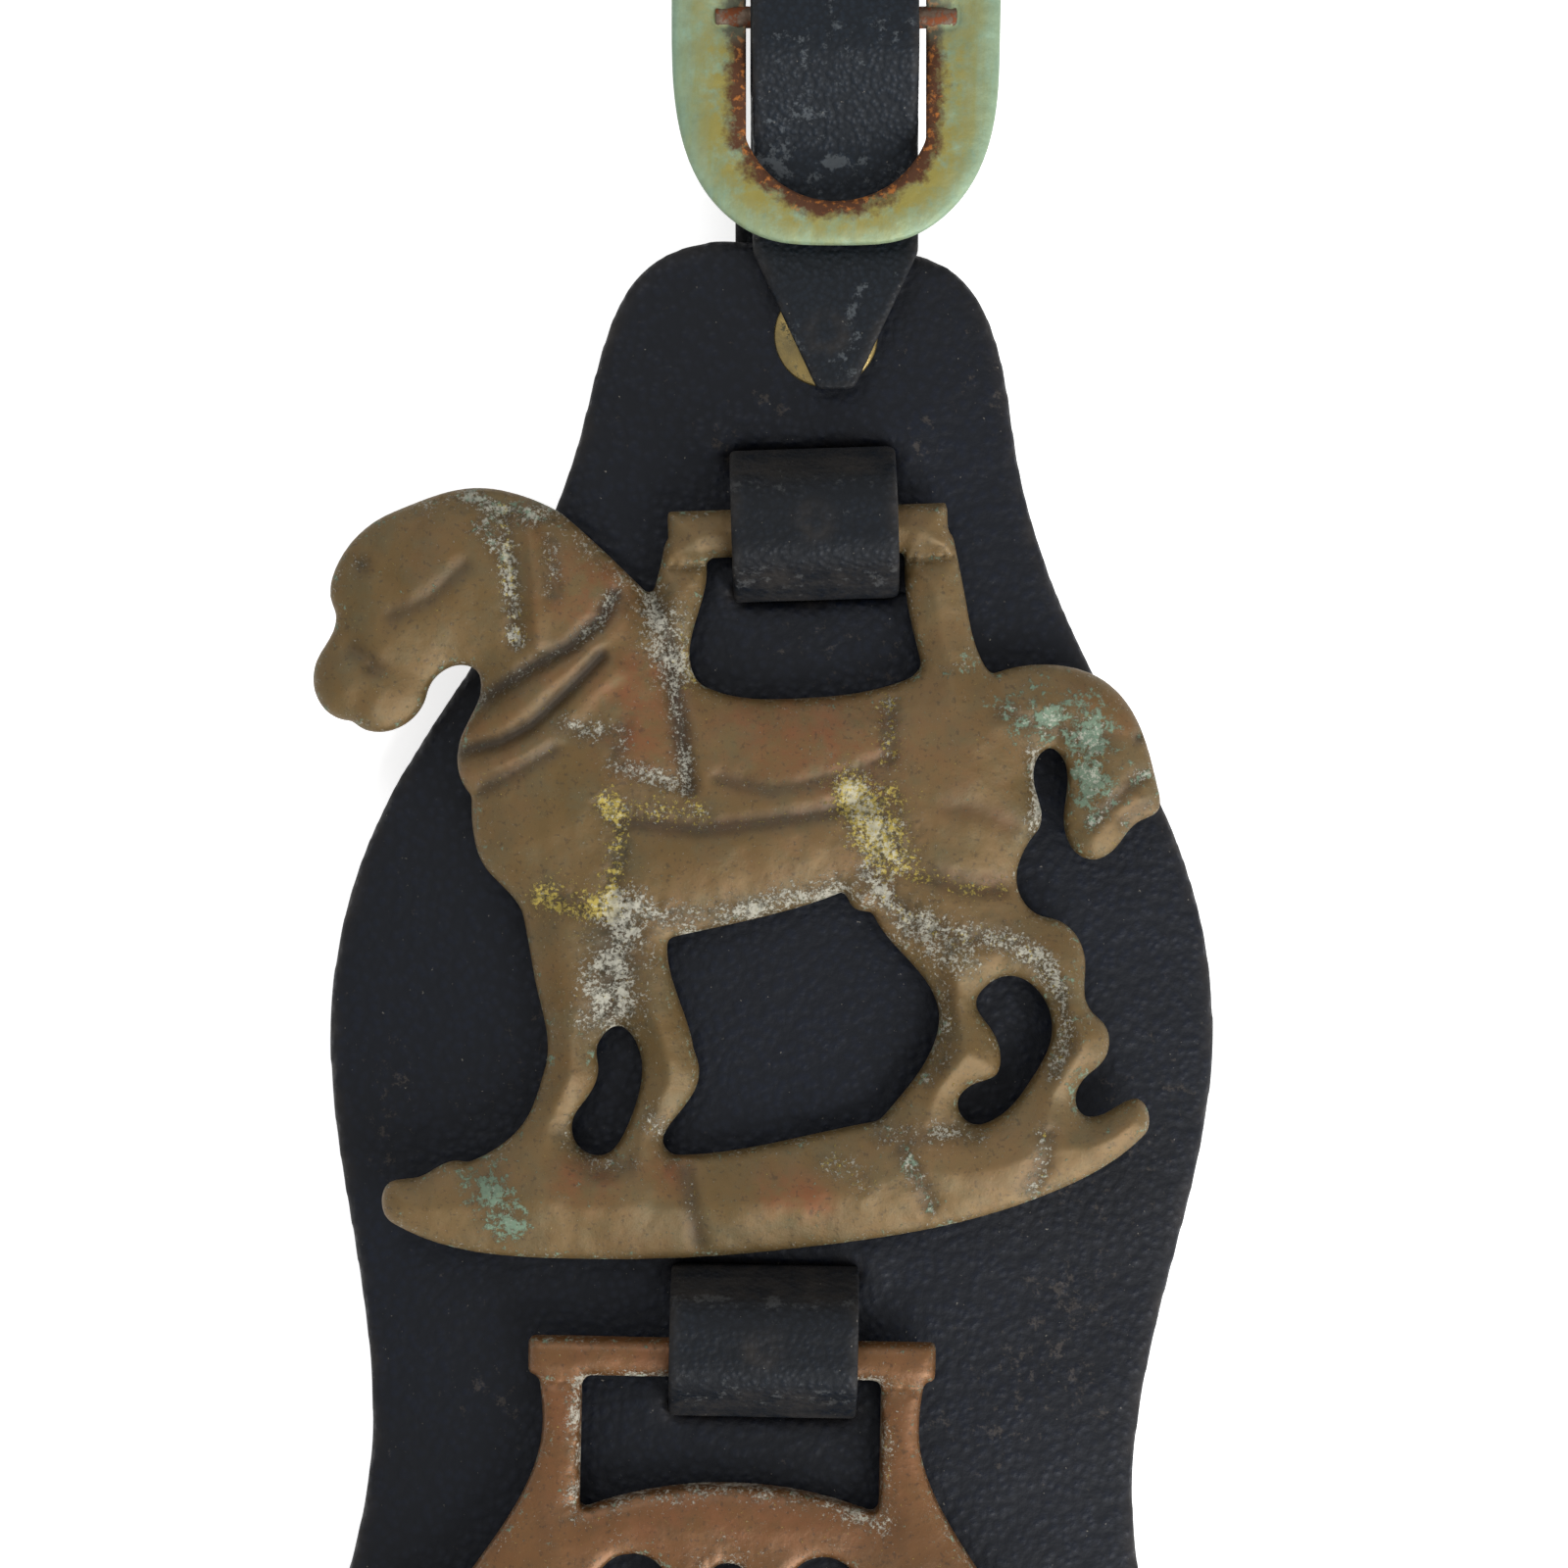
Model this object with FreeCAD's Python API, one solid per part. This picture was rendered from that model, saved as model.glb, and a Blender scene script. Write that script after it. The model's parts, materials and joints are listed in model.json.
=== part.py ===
import FreeCAD, Part
import math
import os

# Harness hanger: a black leather backing panel that carries two cast horse
# brasses on short leather tabs and hangs from a buckled strap. Millimetres.
# The object lies face up. Origin: axis of the top rivet, on the plane it
# rests on. +Z out of the front face, +Y towards the buckle, +X to the right.

sky = 30.0                     # higher than every piece, for through cuts

# ---------------------------------------------------------------- leather
strap_thickness = 1.5          # hanging strap and buckle tab
tab_thickness = 1.5            # the tabs that hold the castings
panel_thickness = 2.6
skin_gap = 0.1                 # air between flat faces that move on each other
ply_gap = 0.05                 # between plies that are fastened together
panel_clearance = 0.6          # buckle tab to the arched underside of the panel

# ---------------------------------------------------------------- top rivet
rivet_post_r = 1.6
rivet_head_r = 5.05
rivet_head_t = 0.8
burr_r = 4.4
burr_t = 0.8
rivet_running_clearance = 0.05

# Heights of the layers at the top rivet, from the resting plane upwards.
rear_ply_z = burr_t + skin_gap + strap_thickness / 2
tab_ply_z = rear_ply_z + strap_thickness + skin_gap
panel_back_z = tab_ply_z + strap_thickness / 2 + panel_clearance
panel_front_z = panel_back_z + panel_thickness
rivet_top_z = panel_front_z + rivet_head_t

# ---------------------------------------------------------------- panel
panel_x = -2.2                 # centre line of the panel beside the rivet
panel_top_y = 8.9
panel_shoulder_half = 7.5      # half of the straight top edge
lobe_half_width = 43.4         # both lobes
upper_lobe_y = -68.0
waist_half_width = 37.4
waist_y = -112.0
lower_lobe_y = -151.0
panel_bottom_y = -209.0
panel_outline_right = [        # half width, y: between the named places
    (15.0, 6.4),
    (18.6, 1.0),
    (21.4, -11.0),
    (24.6, -21.0),
    (31.2, -34.0),
    (38.6, -47.0),
    (lobe_half_width, upper_lobe_y),
    (40.4, -88.5),
    (waist_half_width, waist_y),
    (41.0, -131.0),
    (lobe_half_width, lower_lobe_y),
    (36.5, -177.5),
    (20.0, -201.5),
]
panel_arch_r = (lobe_half_width ** 2 + panel_back_z ** 2) / (2 * panel_back_z)

# ---------------------------------------------------------------- tabs
slit_pitch = 13.2              # between the two slits of one tab
slit_side_clearance = 0.4
slit_height = tab_thickness + 0.5
tab_tail_half = 5.0            # overlap of the tails behind the panel
tab_roof_half = 3.2            # half of the flat top of the arch
tab_bend_r = 1.35              # tight bends where the tab enters the panel
tab_arch_r = 3.4
tab_foot_rise = 1.3            # straight rise out of the slit

upper_tab_width = 16.1
upper_tab_x = -0.3
upper_tab_y = -18.4
upper_bar_drop = 0.7           # the bar hangs this far below the tab's middle
upper_lean = 4.4               # degrees, counter-clockwise seen from the front
lower_tab_width = 18.2
lower_tab_x = -1.6
lower_tab_y = -97.9
lower_bar_drop = 1.5
lower_lean = 1.5

# The inner tails stay clear of the arched back of the panel at their far edge.
tab_far_edge = max(
    upper_tab_x + upper_tab_width / 2 - panel_x,
    lower_tab_x + lower_tab_width / 2 - panel_x,
)
tab_tail_gap = tab_far_edge ** 2 / (2 * panel_arch_r) + 0.06

tab_rivet_post_r = 1.2
tab_rivet_head_r = 3.0
tab_rivet_head_t = 0.6

# ---------------------------------------------------------------- castings
bar_turn_gap = 0.8             # around the corners of a turning hanger bar
bar_edge_r = 0.9
casting_thickness = 3.6
casting_back_gap = 0.4         # casting to the crown of the panel
horse_bar_height = 4.6
horse_bar_thickness = 2.6
horse_slot_right = 0.65        # beside the tab, at the bar
horse_slot_left = 2.65
disc_bar_height = 3.8
disc_bar_thickness = 2.4
bar_relief_length = 0.7        # the back is thinned this far below the bar
bar_leg_overlap = 1.5          # the legs run this far up behind the bar
bar_side_margin = 1.5          # width of the thinned crown past the bar's ends


def bar_corner_reach(height, thickness):
    """Largest distance from a bar's axis to its rounded surface."""
    half_height = height / 2 - bar_edge_r
    half_thickness = thickness / 2 - bar_edge_r
    return math.hypot(half_height, half_thickness) + bar_edge_r


bar_reach = bar_corner_reach(horse_bar_height, horse_bar_thickness)
bar_axis_z = panel_front_z + bar_reach + bar_turn_gap
tab_roof_z = bar_axis_z + bar_reach + bar_turn_gap + tab_thickness / 2
casting_back_z = panel_front_z + casting_back_gap
casting_front_z = casting_back_z + casting_thickness

# disc brass, in its own frame: origin on the bar's axis, +Y up the panel
disc_r = 39.0
disc_centre_y = -51.2
disc_side_shift = -3.05         # the disc hangs left of the middle of its tab
disc_slot_half = lower_tab_width / 2 - disc_side_shift + 2.35
disc_hanger_half = disc_slot_half + 5.2
disc_hanger_side = [
    (disc_slot_half + 3.8, -4.5),
    (disc_slot_half + 3.8, -8.0),
    (disc_slot_half + 6.1, -14.5),
]
disc_join_half = 25.0          # where the hanger runs into the round edge
window_count = 10
window_outer_r = 33.6
window_inner_r = 19.0
window_outer_dome = 2.6         # rise of the arched outer end
window_inner_dome = 1.0
window_outer_half_angle = 6.6  # degrees
window_inner_half_angle = 4.2
pinhole_r = 2.2
pinhole_ring_r = 29.2
centre_ring_r = 9.5
centre_hole_r = 2.4

# ---------------------------------------------------------------- hanger
hanger_lean = 2.6              # degrees, counter-clockwise from the panel
strap_width = 16.1
strap_x = 0.9
buckle_tab_x = -0.8
billet_tip_y = -5.3
billet_taper_y = 8.0
billet_tip_half = 1.8
strap_end_y = -6.5

buckle_x = 0.95
buckle_y = 30.5                # centre bar
window_side_clearance = 0.65
window_half_width = strap_width / 2 + window_side_clearance
window_half_height = 17.8
buckle_half_width = window_half_width + 7.2
buckle_half_height = window_half_height + 4.2
buckle_thickness = 2.6
buckle_bar_r = 1.1
buckle_bar_seat = 3.0          # length of the bar inside each side rim
bar_wrap_clearance = 0.1
neck_clearance = 0.4           # the folded part of the tab inside the window
tab_slot_reach = 3.2           # tongue slot of the tab, below the bar
short_ply_bend_y = 5.4         # the tab's turned-over end, below the bar
short_ply_end_y = 8.0

tongue_width = 2.4
tongue_thickness = 1.2
tongue_wrap_clearance = 0.05
tongue_side_clearance = 0.5
tongue_hole_low_y = 33.6
tongue_hole_high_y = 41.6
billet_hole_pitch = 12.0
billet_hole_r = 1.5

rim_gap = 0.2                  # billet to panel and to the buckle's rims
billet_low_z = panel_front_z + rim_gap + strap_thickness / 2
billet_rivet_z = rivet_top_z + rim_gap + strap_thickness / 2
rim_back_z = billet_low_z + strap_thickness / 2 + rim_gap
buckle_bar_z = rim_back_z + buckle_thickness / 2
wrap_mid_r = buckle_bar_r + bar_wrap_clearance + strap_thickness / 2
billet_hump_z = buckle_bar_z + wrap_mid_r + strap_thickness + skin_gap
hump_half = wrap_mid_r + strap_thickness / 2 + 0.7  # flat over the bar this far
hump_foot = hump_half + 5.8 + 2 * strap_thickness   # under the rims from here

loop_top_y = 88.0
loop_top_z = 12.2
loop_bend_r = 4.9


def point(x, y, z=0.0):
    return FreeCAD.Vector(x, y, z)


def curve(points):
    """A line through two points, or a smooth curve through more."""
    vectors = [point(x, y) for x, y in points]
    if len(vectors) == 2:
        return Part.LineSegment(*vectors).toShape()
    spline = Part.BSplineCurve()
    spline.interpolate(vectors)
    return spline.toShape()


def outline(stretches):
    """A closed wire of stretches, each starting where the last one ended."""
    return Part.Wire([curve(points) for points in stretches])


def ring_curve(points):
    """A closed smooth curve through the points."""
    spline = Part.BSplineCurve()
    spline.interpolate([point(x, y) for x, y in points], PeriodicFlag=True)
    return Part.Wire([spline.toShape()])


def prism(wire, low_z, high_z):
    face = Part.Face(wire)
    face.translate(point(0, 0, low_z))
    return face.extrude(point(0, 0, high_z - low_z))


def block(low, high):
    sizes = [high[i] - low[i] for i in range(3)]
    return Part.makeBox(*sizes, point(*low))


def cylinder(radius, low_z, high_z, x=0.0, y=0.0):
    return Part.makeCylinder(radius, high_z - low_z, point(x, y, low_z))


def ribbon(path, thickness, low_x, high_x):
    """A bent strip: path holds (y, z, bend radius) along its middle."""
    half = thickness / 2
    mids = [FreeCAD.Vector(0, y, z) for y, z, _ in path]
    runs = [(b - a).normalize() for a, b in zip(mids, mids[1:])]

    def left(run):
        return FreeCAD.Vector(0, -run.z, run.y)

    def side(sign):
        edges = []
        here = mids[0] + left(runs[0]) * sign * half
        for index in range(1, len(mids) - 1):
            before, after = runs[index - 1], runs[index]
            radius = path[index][2]
            turn = before.getAngle(after)
            hand = 1 if before.cross(after).x > 0 else -1
            reach = radius * math.tan(turn / 2)
            start = mids[index] - before * reach
            finish = mids[index] + after * reach
            centre = start + left(before) * hand * radius
            outward = (mids[index] - centre).normalize()
            first = start + left(before) * sign * half
            middle = centre + outward * (radius - hand * sign * half)
            last = finish + left(after) * sign * half
            if here.distanceToPoint(first) > 1e-4:
                edges.append(Part.LineSegment(here, first).toShape())
            edges.append(Part.Arc(first, middle, last).toShape())
            here = last
        end = mids[-1] + left(runs[-1]) * sign * half
        edges.append(Part.LineSegment(here, end).toShape())
        return edges

    upper, lower = side(1), side(-1)
    caps = []
    for one, other in ((upper[0], lower[0]), (upper[-1], lower[-1])):
        which = 0 if one is upper[0] else -1
        a = one.Vertexes[which].Point
        b = other.Vertexes[which].Point
        caps.append(Part.LineSegment(a, b).toShape())
    loop = Part.Wire(Part.sortEdges(upper + lower + caps)[0])
    face = Part.Face(loop)
    face.translate(point(low_x, 0, 0))
    return face.extrude(point(high_x - low_x, 0, 0))


def placed(shape, x, y, lean):
    """Turn about the vertical through the shape's own origin, then move."""
    moved = shape.copy()
    moved.rotate(point(0, 0, 0), point(0, 0, 1), lean)
    moved.translate(point(x, y, 0))
    return moved


def make_panel():
    """Backing panel, arched so that its long edges reach the table."""
    right = [(panel_x + half, y) for half, y in panel_outline_right]
    left = [(panel_x - half, y) for half, y in reversed(panel_outline_right)]
    top = [(panel_x - panel_shoulder_half, panel_top_y), (panel_x + panel_shoulder_half, panel_top_y)]
    edge = ring_curve(top + right + [(panel_x, panel_bottom_y)] + left)
    shape = prism(edge, -1, panel_front_z + 1)
    length = panel_top_y - panel_bottom_y
    foot = FreeCAD.Vector(panel_x, panel_bottom_y - 1, panel_back_z - panel_arch_r)
    along = FreeCAD.Vector(0, 1, 0)
    outer = Part.makeCylinder(panel_arch_r + panel_thickness, length + 2, foot, along)
    inner = Part.makeCylinder(panel_arch_r, length + 2, foot, along)
    shape = shape.common(outer).cut(inner)
    for x, y, lean, width in tab_places():
        for side in (-1, 1):
            slit = block(
                (-width / 2 - slit_side_clearance, side * slit_pitch / 2 - slit_height / 2, 0),
                (width / 2 + slit_side_clearance, side * slit_pitch / 2 + slit_height / 2, sky),
            )
            shape = shape.cut(placed(slit, x, y, lean))
    return shape.cut(cylinder(rivet_post_r, 0, sky))


def tab_places():
    return (
        (upper_tab_x, upper_tab_y, upper_lean, upper_tab_width),
        (lower_tab_x, lower_tab_y, lower_lean, lower_tab_width),
    )


def inner_tail_z():
    return panel_back_z - tab_tail_gap - tab_thickness / 2


def outer_tail_z():
    return inner_tail_z() - tab_thickness - ply_gap


def make_tab(width):
    """One tab: over the bar, down both slits, tails lapped behind."""
    half = slit_pitch / 2
    foot_z = panel_front_z + tab_foot_rise
    path = [
        (-tab_tail_half, inner_tail_z(), 0),
        (half, inner_tail_z(), tab_bend_r),
        (half, foot_z, tab_bend_r),
        (tab_roof_half, tab_roof_z, tab_arch_r),
        (-tab_roof_half, tab_roof_z, tab_arch_r),
        (-half, foot_z, tab_bend_r),
        (-half, outer_tail_z(), tab_bend_r),
        (tab_tail_half, outer_tail_z(), 0),
    ]
    strip = ribbon(path, tab_thickness, -width / 2, width / 2)
    top = inner_tail_z() + tab_thickness / 2
    hole = cylinder(tab_rivet_post_r, 0, top)
    seat = cylinder(tab_rivet_head_r, top - tab_rivet_head_t, top + 0.01)
    return strip.cut(hole).cut(seat)


def make_tab_rivet():
    """Flat-headed rivet through both tails, its upper head let in flush."""
    top = inner_tail_z() + tab_thickness / 2
    low = outer_tail_z() - tab_thickness / 2
    post = cylinder(tab_rivet_post_r, low, top)
    head = cylinder(tab_rivet_head_r, low - tab_rivet_head_t, low)
    cap = cylinder(tab_rivet_head_r, top - tab_rivet_head_t, top)
    return post.fuse([head, cap]).removeSplitter()


def make_hanger_bar(low_x, high_x, height, thickness):
    """The bar that turns in a tab, rounded along its length."""
    bar = block(
        (low_x, -height / 2, bar_axis_z - thickness / 2),
        (high_x, height / 2, bar_axis_z + thickness / 2),
    )
    long_edges = [e for e in bar.Edges if abs(e.tangentAt(e.FirstParameter).x) > 0.9]
    return bar.makeFillet(bar_edge_r, long_edges)


def with_bar(plate, low_x, high_x, height, thickness):
    """Swap the top of a casting for its thinner, rounded hanger bar."""
    leg_top = bar_leg_overlap - height / 2
    crown = block(
        (low_x - bar_side_margin, leg_top, 0),
        (high_x + bar_side_margin, height, casting_front_z + 1),
    )
    back = block(
        (low_x - bar_side_margin, -height / 2 - bar_relief_length, 0),
        (high_x + bar_side_margin, height, bar_axis_z - thickness / 2),
    )
    bar = make_hanger_bar(low_x, high_x, height, thickness)
    return plate.cut(crown).cut(back).fuse(bar).removeSplitter()


def make_horse():
    """Rocking-horse casting; origin on the axis of its hanger bar."""
    half_bar = horse_bar_height / 2
    edge = outline([
        # mane, poll and forelock
        [(-16.0, -6.0), (-17.5, -4.4), (-20.5, -1.3), (-24.5, 2.5)],
        [(-24.5, 2.5), (-28.5, 4.4), (-33.0, 5.2), (-37.5, 4.3), (-41.0, 3.0)],
        [(-41.0, 3.0), (-43.5, 1.6), (-46.0, -1.2), (-47.1, -4.2), (-46.6, -6.5)],
        # nose, muzzle and chin
        [(-46.6, -6.5), (-47.2, -8.8), (-48.6, -11.0), (-49.0, -13.5), (-48.0, -15.8), (-45.3, -17.0)],
        [(-45.3, -17.0), (-43.6, -18.1), (-41.5, -18.0), (-39.4, -16.8), (-38.0, -14.2)],
        # jaw, throat and chest
        [(-38.0, -14.2), (-37.0, -12.8), (-35.0, -11.9), (-33.0, -12.6)],
        [(-33.0, -12.6), (-32.9, -14.8), (-34.0, -17.2), (-35.2, -20.0), (-35.0, -23.0), (-34.0, -24.6)],
        [(-34.0, -24.6), (-34.0, -28.0), (-33.0, -31.5), (-30.8, -34.0), (-29.4, -36.2)],
        # front of the foreleg down to the rocker
        [(-29.4, -36.2), (-28.9, -39.5), (-28.3, -43.5), (-27.4, -48.5), (-27.6, -50.8)],
        [(-27.6, -50.8), (-28.5, -53.5), (-30.0, -56.5), (-32.6, -58.8), (-35.6, -60.2)],
        # rocker: front tip, long curved foot, rear tip
        [(-35.6, -60.2), (-37.6, -60.1), (-40.5, -61.5), (-43.4, -62.0), (-44.0, -63.6), (-42.6, -66.0)],
        [(-42.6, -66.0), (-37.5, -68.2), (-27.0, -69.7), (-14.0, -70.0), (0.0, -69.1)],
        [(0.0, -69.1), (12.0, -67.4), (21.5, -64.6), (27.5, -61.6), (30.2, -59.4)],
        [(30.2, -59.4), (30.6, -57.6), (29.8, -56.1), (27.8, -56.6), (25.8, -57.6), (24.2, -57.5)],
        # hind leg, stifle and rump up to the dock
        [(24.2, -57.5), (23.6, -55.3), (24.4, -53.9), (26.2, -52.4), (27.0, -50.4), (25.9, -48.0)],
        [(25.9, -48.0), (24.7, -45.6), (24.9, -42.5), (24.0, -39.8), (21.4, -38.2)],
        [(21.4, -38.2), (19.4, -37.0), (18.5, -34.8), (19.0, -32.2), (20.8, -29.6)],
        [(20.8, -29.6), (21.1, -27.8), (20.5, -25.4), (20.7, -23.0), (22.2, -21.6)],
        # tail, from the inner side round its wrapped end
        [(22.2, -21.6), (23.6, -23.2), (23.6, -26.5), (23.3, -29.5), (24.6, -32.2), (26.4, -32.7)],
        [(26.4, -32.7), (28.4, -31.4), (30.4, -29.2), (32.2, -28.4), (32.6, -26.6)],
        [(32.6, -26.6), (31.8, -22.8), (30.2, -18.4), (27.6, -15.4), (24.0, -13.9), (16.6, -14.5)],
        # hanger
        [(16.6, -14.5), (15.2, -11.5), (14.4, -7.0), (13.6, -2.2), (12.9, half_bar)],
        [(12.9, half_bar), (-14.2, half_bar)],
        [(-14.2, half_bar), (-14.5, -0.5), (-15.2, -3.5), (-16.0, -6.0)],
    ])
    right = upper_tab_width / 2 + horse_slot_right
    left = -upper_tab_width / 2 - horse_slot_left
    hanger_slot = outline([
        [(left, -half_bar), (right, -half_bar)],
        [(right, -half_bar), (right - 0.1, -5.2), (right + 0.4, -9.2), (right + 1.3, -13.4)],
        [(right + 1.3, -13.4), (right + 0.3, -14.5)],
        [(right + 0.3, -14.5), (4.0, -15.8), (-2.5, -16.2), (-7.8, -15.9), (left - 0.9, -14.5)],
        [(left - 0.9, -14.5), (left - 1.8, -12.3), (left - 1.0, -8.0), (left, -half_bar)],
    ])
    between_legs = outline([
        [(-15.5, -39.0), (-9.0, -37.8), (-3.0, -36.5), (2.0, -34.9)],
        [(2.0, -34.9), (2.6, -36.6), (4.4, -37.0)],
        [(4.4, -37.0), (6.0, -39.8), (9.2, -43.6), (10.6, -47.0), (9.6, -51.0), (7.2, -54.4), (4.5, -57.4)],
        [(4.5, -57.4), (-3.0, -58.7), (-10.5, -59.9), (-15.6, -60.1)],
        [(-15.6, -60.1), (-16.6, -58.6), (-15.2, -56.3), (-13.8, -54.6), (-13.3, -50.0)],
        [(-13.3, -50.0), (-14.1, -46.5), (-15.2, -43.0), (-15.5, -39.0)],
    ])
    between_forelegs = ring_curve([
        (-22.2, -48.4), (-20.2, -47.4), (-18.6, -49.6), (-18.5, -53.0),
        (-19.9, -57.0), (-22.4, -59.9), (-24.6, -59.2), (-25.3, -56.4),
        (-23.6, -54.0), (-22.6, -51.2),
    ])
    between_hind_legs = ring_curve([
        (14.6, -45.2), (18.8, -44.0), (21.2, -46.8), (21.4, -50.0),
        (19.4, -53.8), (16.2, -57.3), (13.2, -57.9), (12.1, -55.8),
        (13.6, -54.1), (16.0, -53.2), (16.4, -51.2), (15.3, -48.4),
    ])
    plate = prism(edge, casting_back_z, casting_front_z)
    for opening in (hanger_slot, between_legs, between_forelegs, between_hind_legs):
        plate = plate.cut(prism(opening, 0, sky))
    return with_bar(plate, -14.2, 12.9, horse_bar_height, horse_bar_thickness)


def polar(radius, degrees):
    """A point of the disc, counted clockwise from its top."""
    turn = math.radians(degrees)
    return (radius * math.sin(turn), disc_centre_y + radius * math.cos(turn))


def window_wire(middle):
    """An arched window between two spokes, with a domed outer end."""
    outer_left = polar(window_outer_r - window_outer_dome, middle - window_outer_half_angle)
    outer_top = polar(window_outer_r, middle)
    outer_right = polar(window_outer_r - window_outer_dome, middle + window_outer_half_angle)
    inner_right = polar(window_inner_r + window_inner_dome, middle + window_inner_half_angle)
    inner_low = polar(window_inner_r, middle)
    inner_left = polar(window_inner_r + window_inner_dome, middle - window_inner_half_angle)

    def arc(a, b, c):
        return Part.Arc(point(*a), point(*b), point(*c)).toShape()

    return Part.Wire([
        arc(outer_left, outer_top, outer_right),
        Part.LineSegment(point(*outer_right), point(*inner_right)).toShape(),
        arc(inner_right, inner_low, inner_left),
        Part.LineSegment(point(*inner_left), point(*outer_left)).toShape(),
    ])


def make_disc():
    """Pierced round casting; origin on the axis of its hanger bar."""
    half_bar = disc_bar_height / 2
    join_y = disc_centre_y + math.sqrt(disc_r ** 2 - disc_join_half ** 2)
    right = [(disc_hanger_half, half_bar)] + disc_hanger_side + [(disc_join_half, join_y)]
    left = [(-x, y) for x, y in reversed(right)]
    round_edge = Part.Arc(
        point(disc_join_half, join_y),
        point(0, disc_centre_y - disc_r),
        point(-disc_join_half, join_y),
    ).toShape()
    edge = Part.Wire([
        curve(right),
        round_edge,
        curve(left),
        curve([(-disc_hanger_half, half_bar), (disc_hanger_half, half_bar)]),
    ])
    plate = prism(edge, casting_back_z, casting_front_z)
    slot_low = disc_centre_y + math.sqrt(disc_r ** 2 - disc_slot_half ** 2)
    slot = Part.Wire([
        curve([(-disc_slot_half, -half_bar), (disc_slot_half, -half_bar)]),
        curve([(disc_slot_half, -half_bar), (disc_slot_half, slot_low)]),
        Part.Arc(
            point(disc_slot_half, slot_low),
            point(0, disc_centre_y + disc_r),
            point(-disc_slot_half, slot_low),
        ).toShape(),
        curve([(-disc_slot_half, slot_low), (-disc_slot_half, -half_bar)]),
    ])
    cuts = [prism(slot, 0, sky)]
    step = 360 / window_count
    for index in range(window_count):
        cuts.append(prism(window_wire((index + 0.5) * step), 0, sky))
        x, y = polar(pinhole_ring_r, index * step)
        cuts.append(cylinder(pinhole_r, 0, 30, x, y))
        x, y = polar(centre_ring_r, index * step)
        cuts.append(cylinder(centre_hole_r / 2, 0, 30, x, y))
    cuts.append(cylinder(centre_hole_r, 0, 30, 0, disc_centre_y))
    plate = plate.cut(cuts)
    return with_bar(plate, -disc_hanger_half, disc_hanger_half, disc_bar_height, disc_bar_thickness)


def make_strap():
    """Hanging strap: pointed billet, loop, and rear ply to the rivet."""
    rim_low_y = buckle_y - buckle_half_height
    rim_high_y = buckle_y + buckle_half_height
    path = [
        (billet_tip_y, billet_rivet_z, 0),
        (rivet_head_r, billet_rivet_z, 4),
        (rim_low_y + 0.3, billet_low_z, 4),
        (buckle_y - hump_foot, billet_low_z, 4),
        (buckle_y - hump_half, billet_hump_z, 4),
        (buckle_y + hump_half, billet_hump_z, 4),
        (buckle_y + hump_foot, billet_low_z, 4),
        (rim_high_y + 2.0, billet_low_z, 12),
        (loop_top_y, loop_top_z, loop_bend_r),
        (loop_top_y, rear_ply_z, loop_bend_r),
        (strap_end_y, rear_ply_z, 0),
    ]
    low_x = strap_x - strap_width / 2
    high_x = strap_x + strap_width / 2
    strip = ribbon(path, strap_thickness, low_x, high_x)
    above = (rear_ply_z + billet_low_z) / 2
    for x, side in ((low_x, -1), (high_x, 1)):
        offcut = Part.Wire(Part.makePolygon([
            point(strap_x + side * billet_tip_half, billet_tip_y),
            point(x, billet_taper_y),
            point(x + side, billet_taper_y),
            point(x + side, billet_tip_y - 1),
            point(strap_x + side * billet_tip_half, billet_tip_y - 1),
            point(strap_x + side * billet_tip_half, billet_tip_y),
        ]))
        strip = strip.cut(prism(offcut, above, sky))
    slot_half = tongue_width / 2 + tongue_side_clearance
    slot = block(
        (buckle_x - slot_half, tongue_hole_low_y, above),
        (buckle_x + slot_half, tongue_hole_high_y, sky),
    )
    holes = [slot, cylinder(rivet_post_r + rivet_running_clearance, 0, above)]
    for index in (1, 2):
        y = tongue_hole_high_y + 4.0 + billet_hole_pitch * index
        holes.append(cylinder(billet_hole_r, above, 30, buckle_x, y))
    return strip.cut(holes)


def make_buckle_tab():
    """Leather tab folded round the centre bar and riveted to the panel."""
    wrap = wrap_mid_r
    turn_y = buckle_y + wrap
    path = [
        (-6.0, tab_ply_z, 0),
        (panel_top_y + 2.0, tab_ply_z, 8),
        (buckle_y - 4.5, buckle_bar_z - wrap, 6),
        (turn_y, buckle_bar_z - wrap, wrap),
        (turn_y, buckle_bar_z + wrap, wrap),
        (buckle_y - 0.6, buckle_bar_z + wrap, 2),
        (buckle_y - short_ply_bend_y, buckle_bar_z - 0.5, 2),
        (buckle_y - short_ply_end_y, buckle_bar_z - 1.35, 0),
    ]
    low_x = buckle_tab_x - strap_width / 2
    strip = ribbon(path, strap_thickness, low_x, low_x + strap_width)
    slot_half = tongue_width / 2 + tongue_side_clearance
    slot = block(
        (buckle_x - slot_half, buckle_y - tab_slot_reach, 0),
        (buckle_x + slot_half, turn_y + strap_thickness, sky),
    )
    neck_half = window_half_width - neck_clearance
    neck_low_y = buckle_y - window_half_height
    left = block((buckle_x - strap_width, neck_low_y, 0), (buckle_x - neck_half, turn_y + strap_width, sky))
    right = block((buckle_x + neck_half, neck_low_y, 0), (buckle_x + strap_width, turn_y + strap_width, sky))
    hole = cylinder(rivet_post_r + rivet_running_clearance, 0, sky)
    return strip.cut([slot, left, right, hole])


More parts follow.
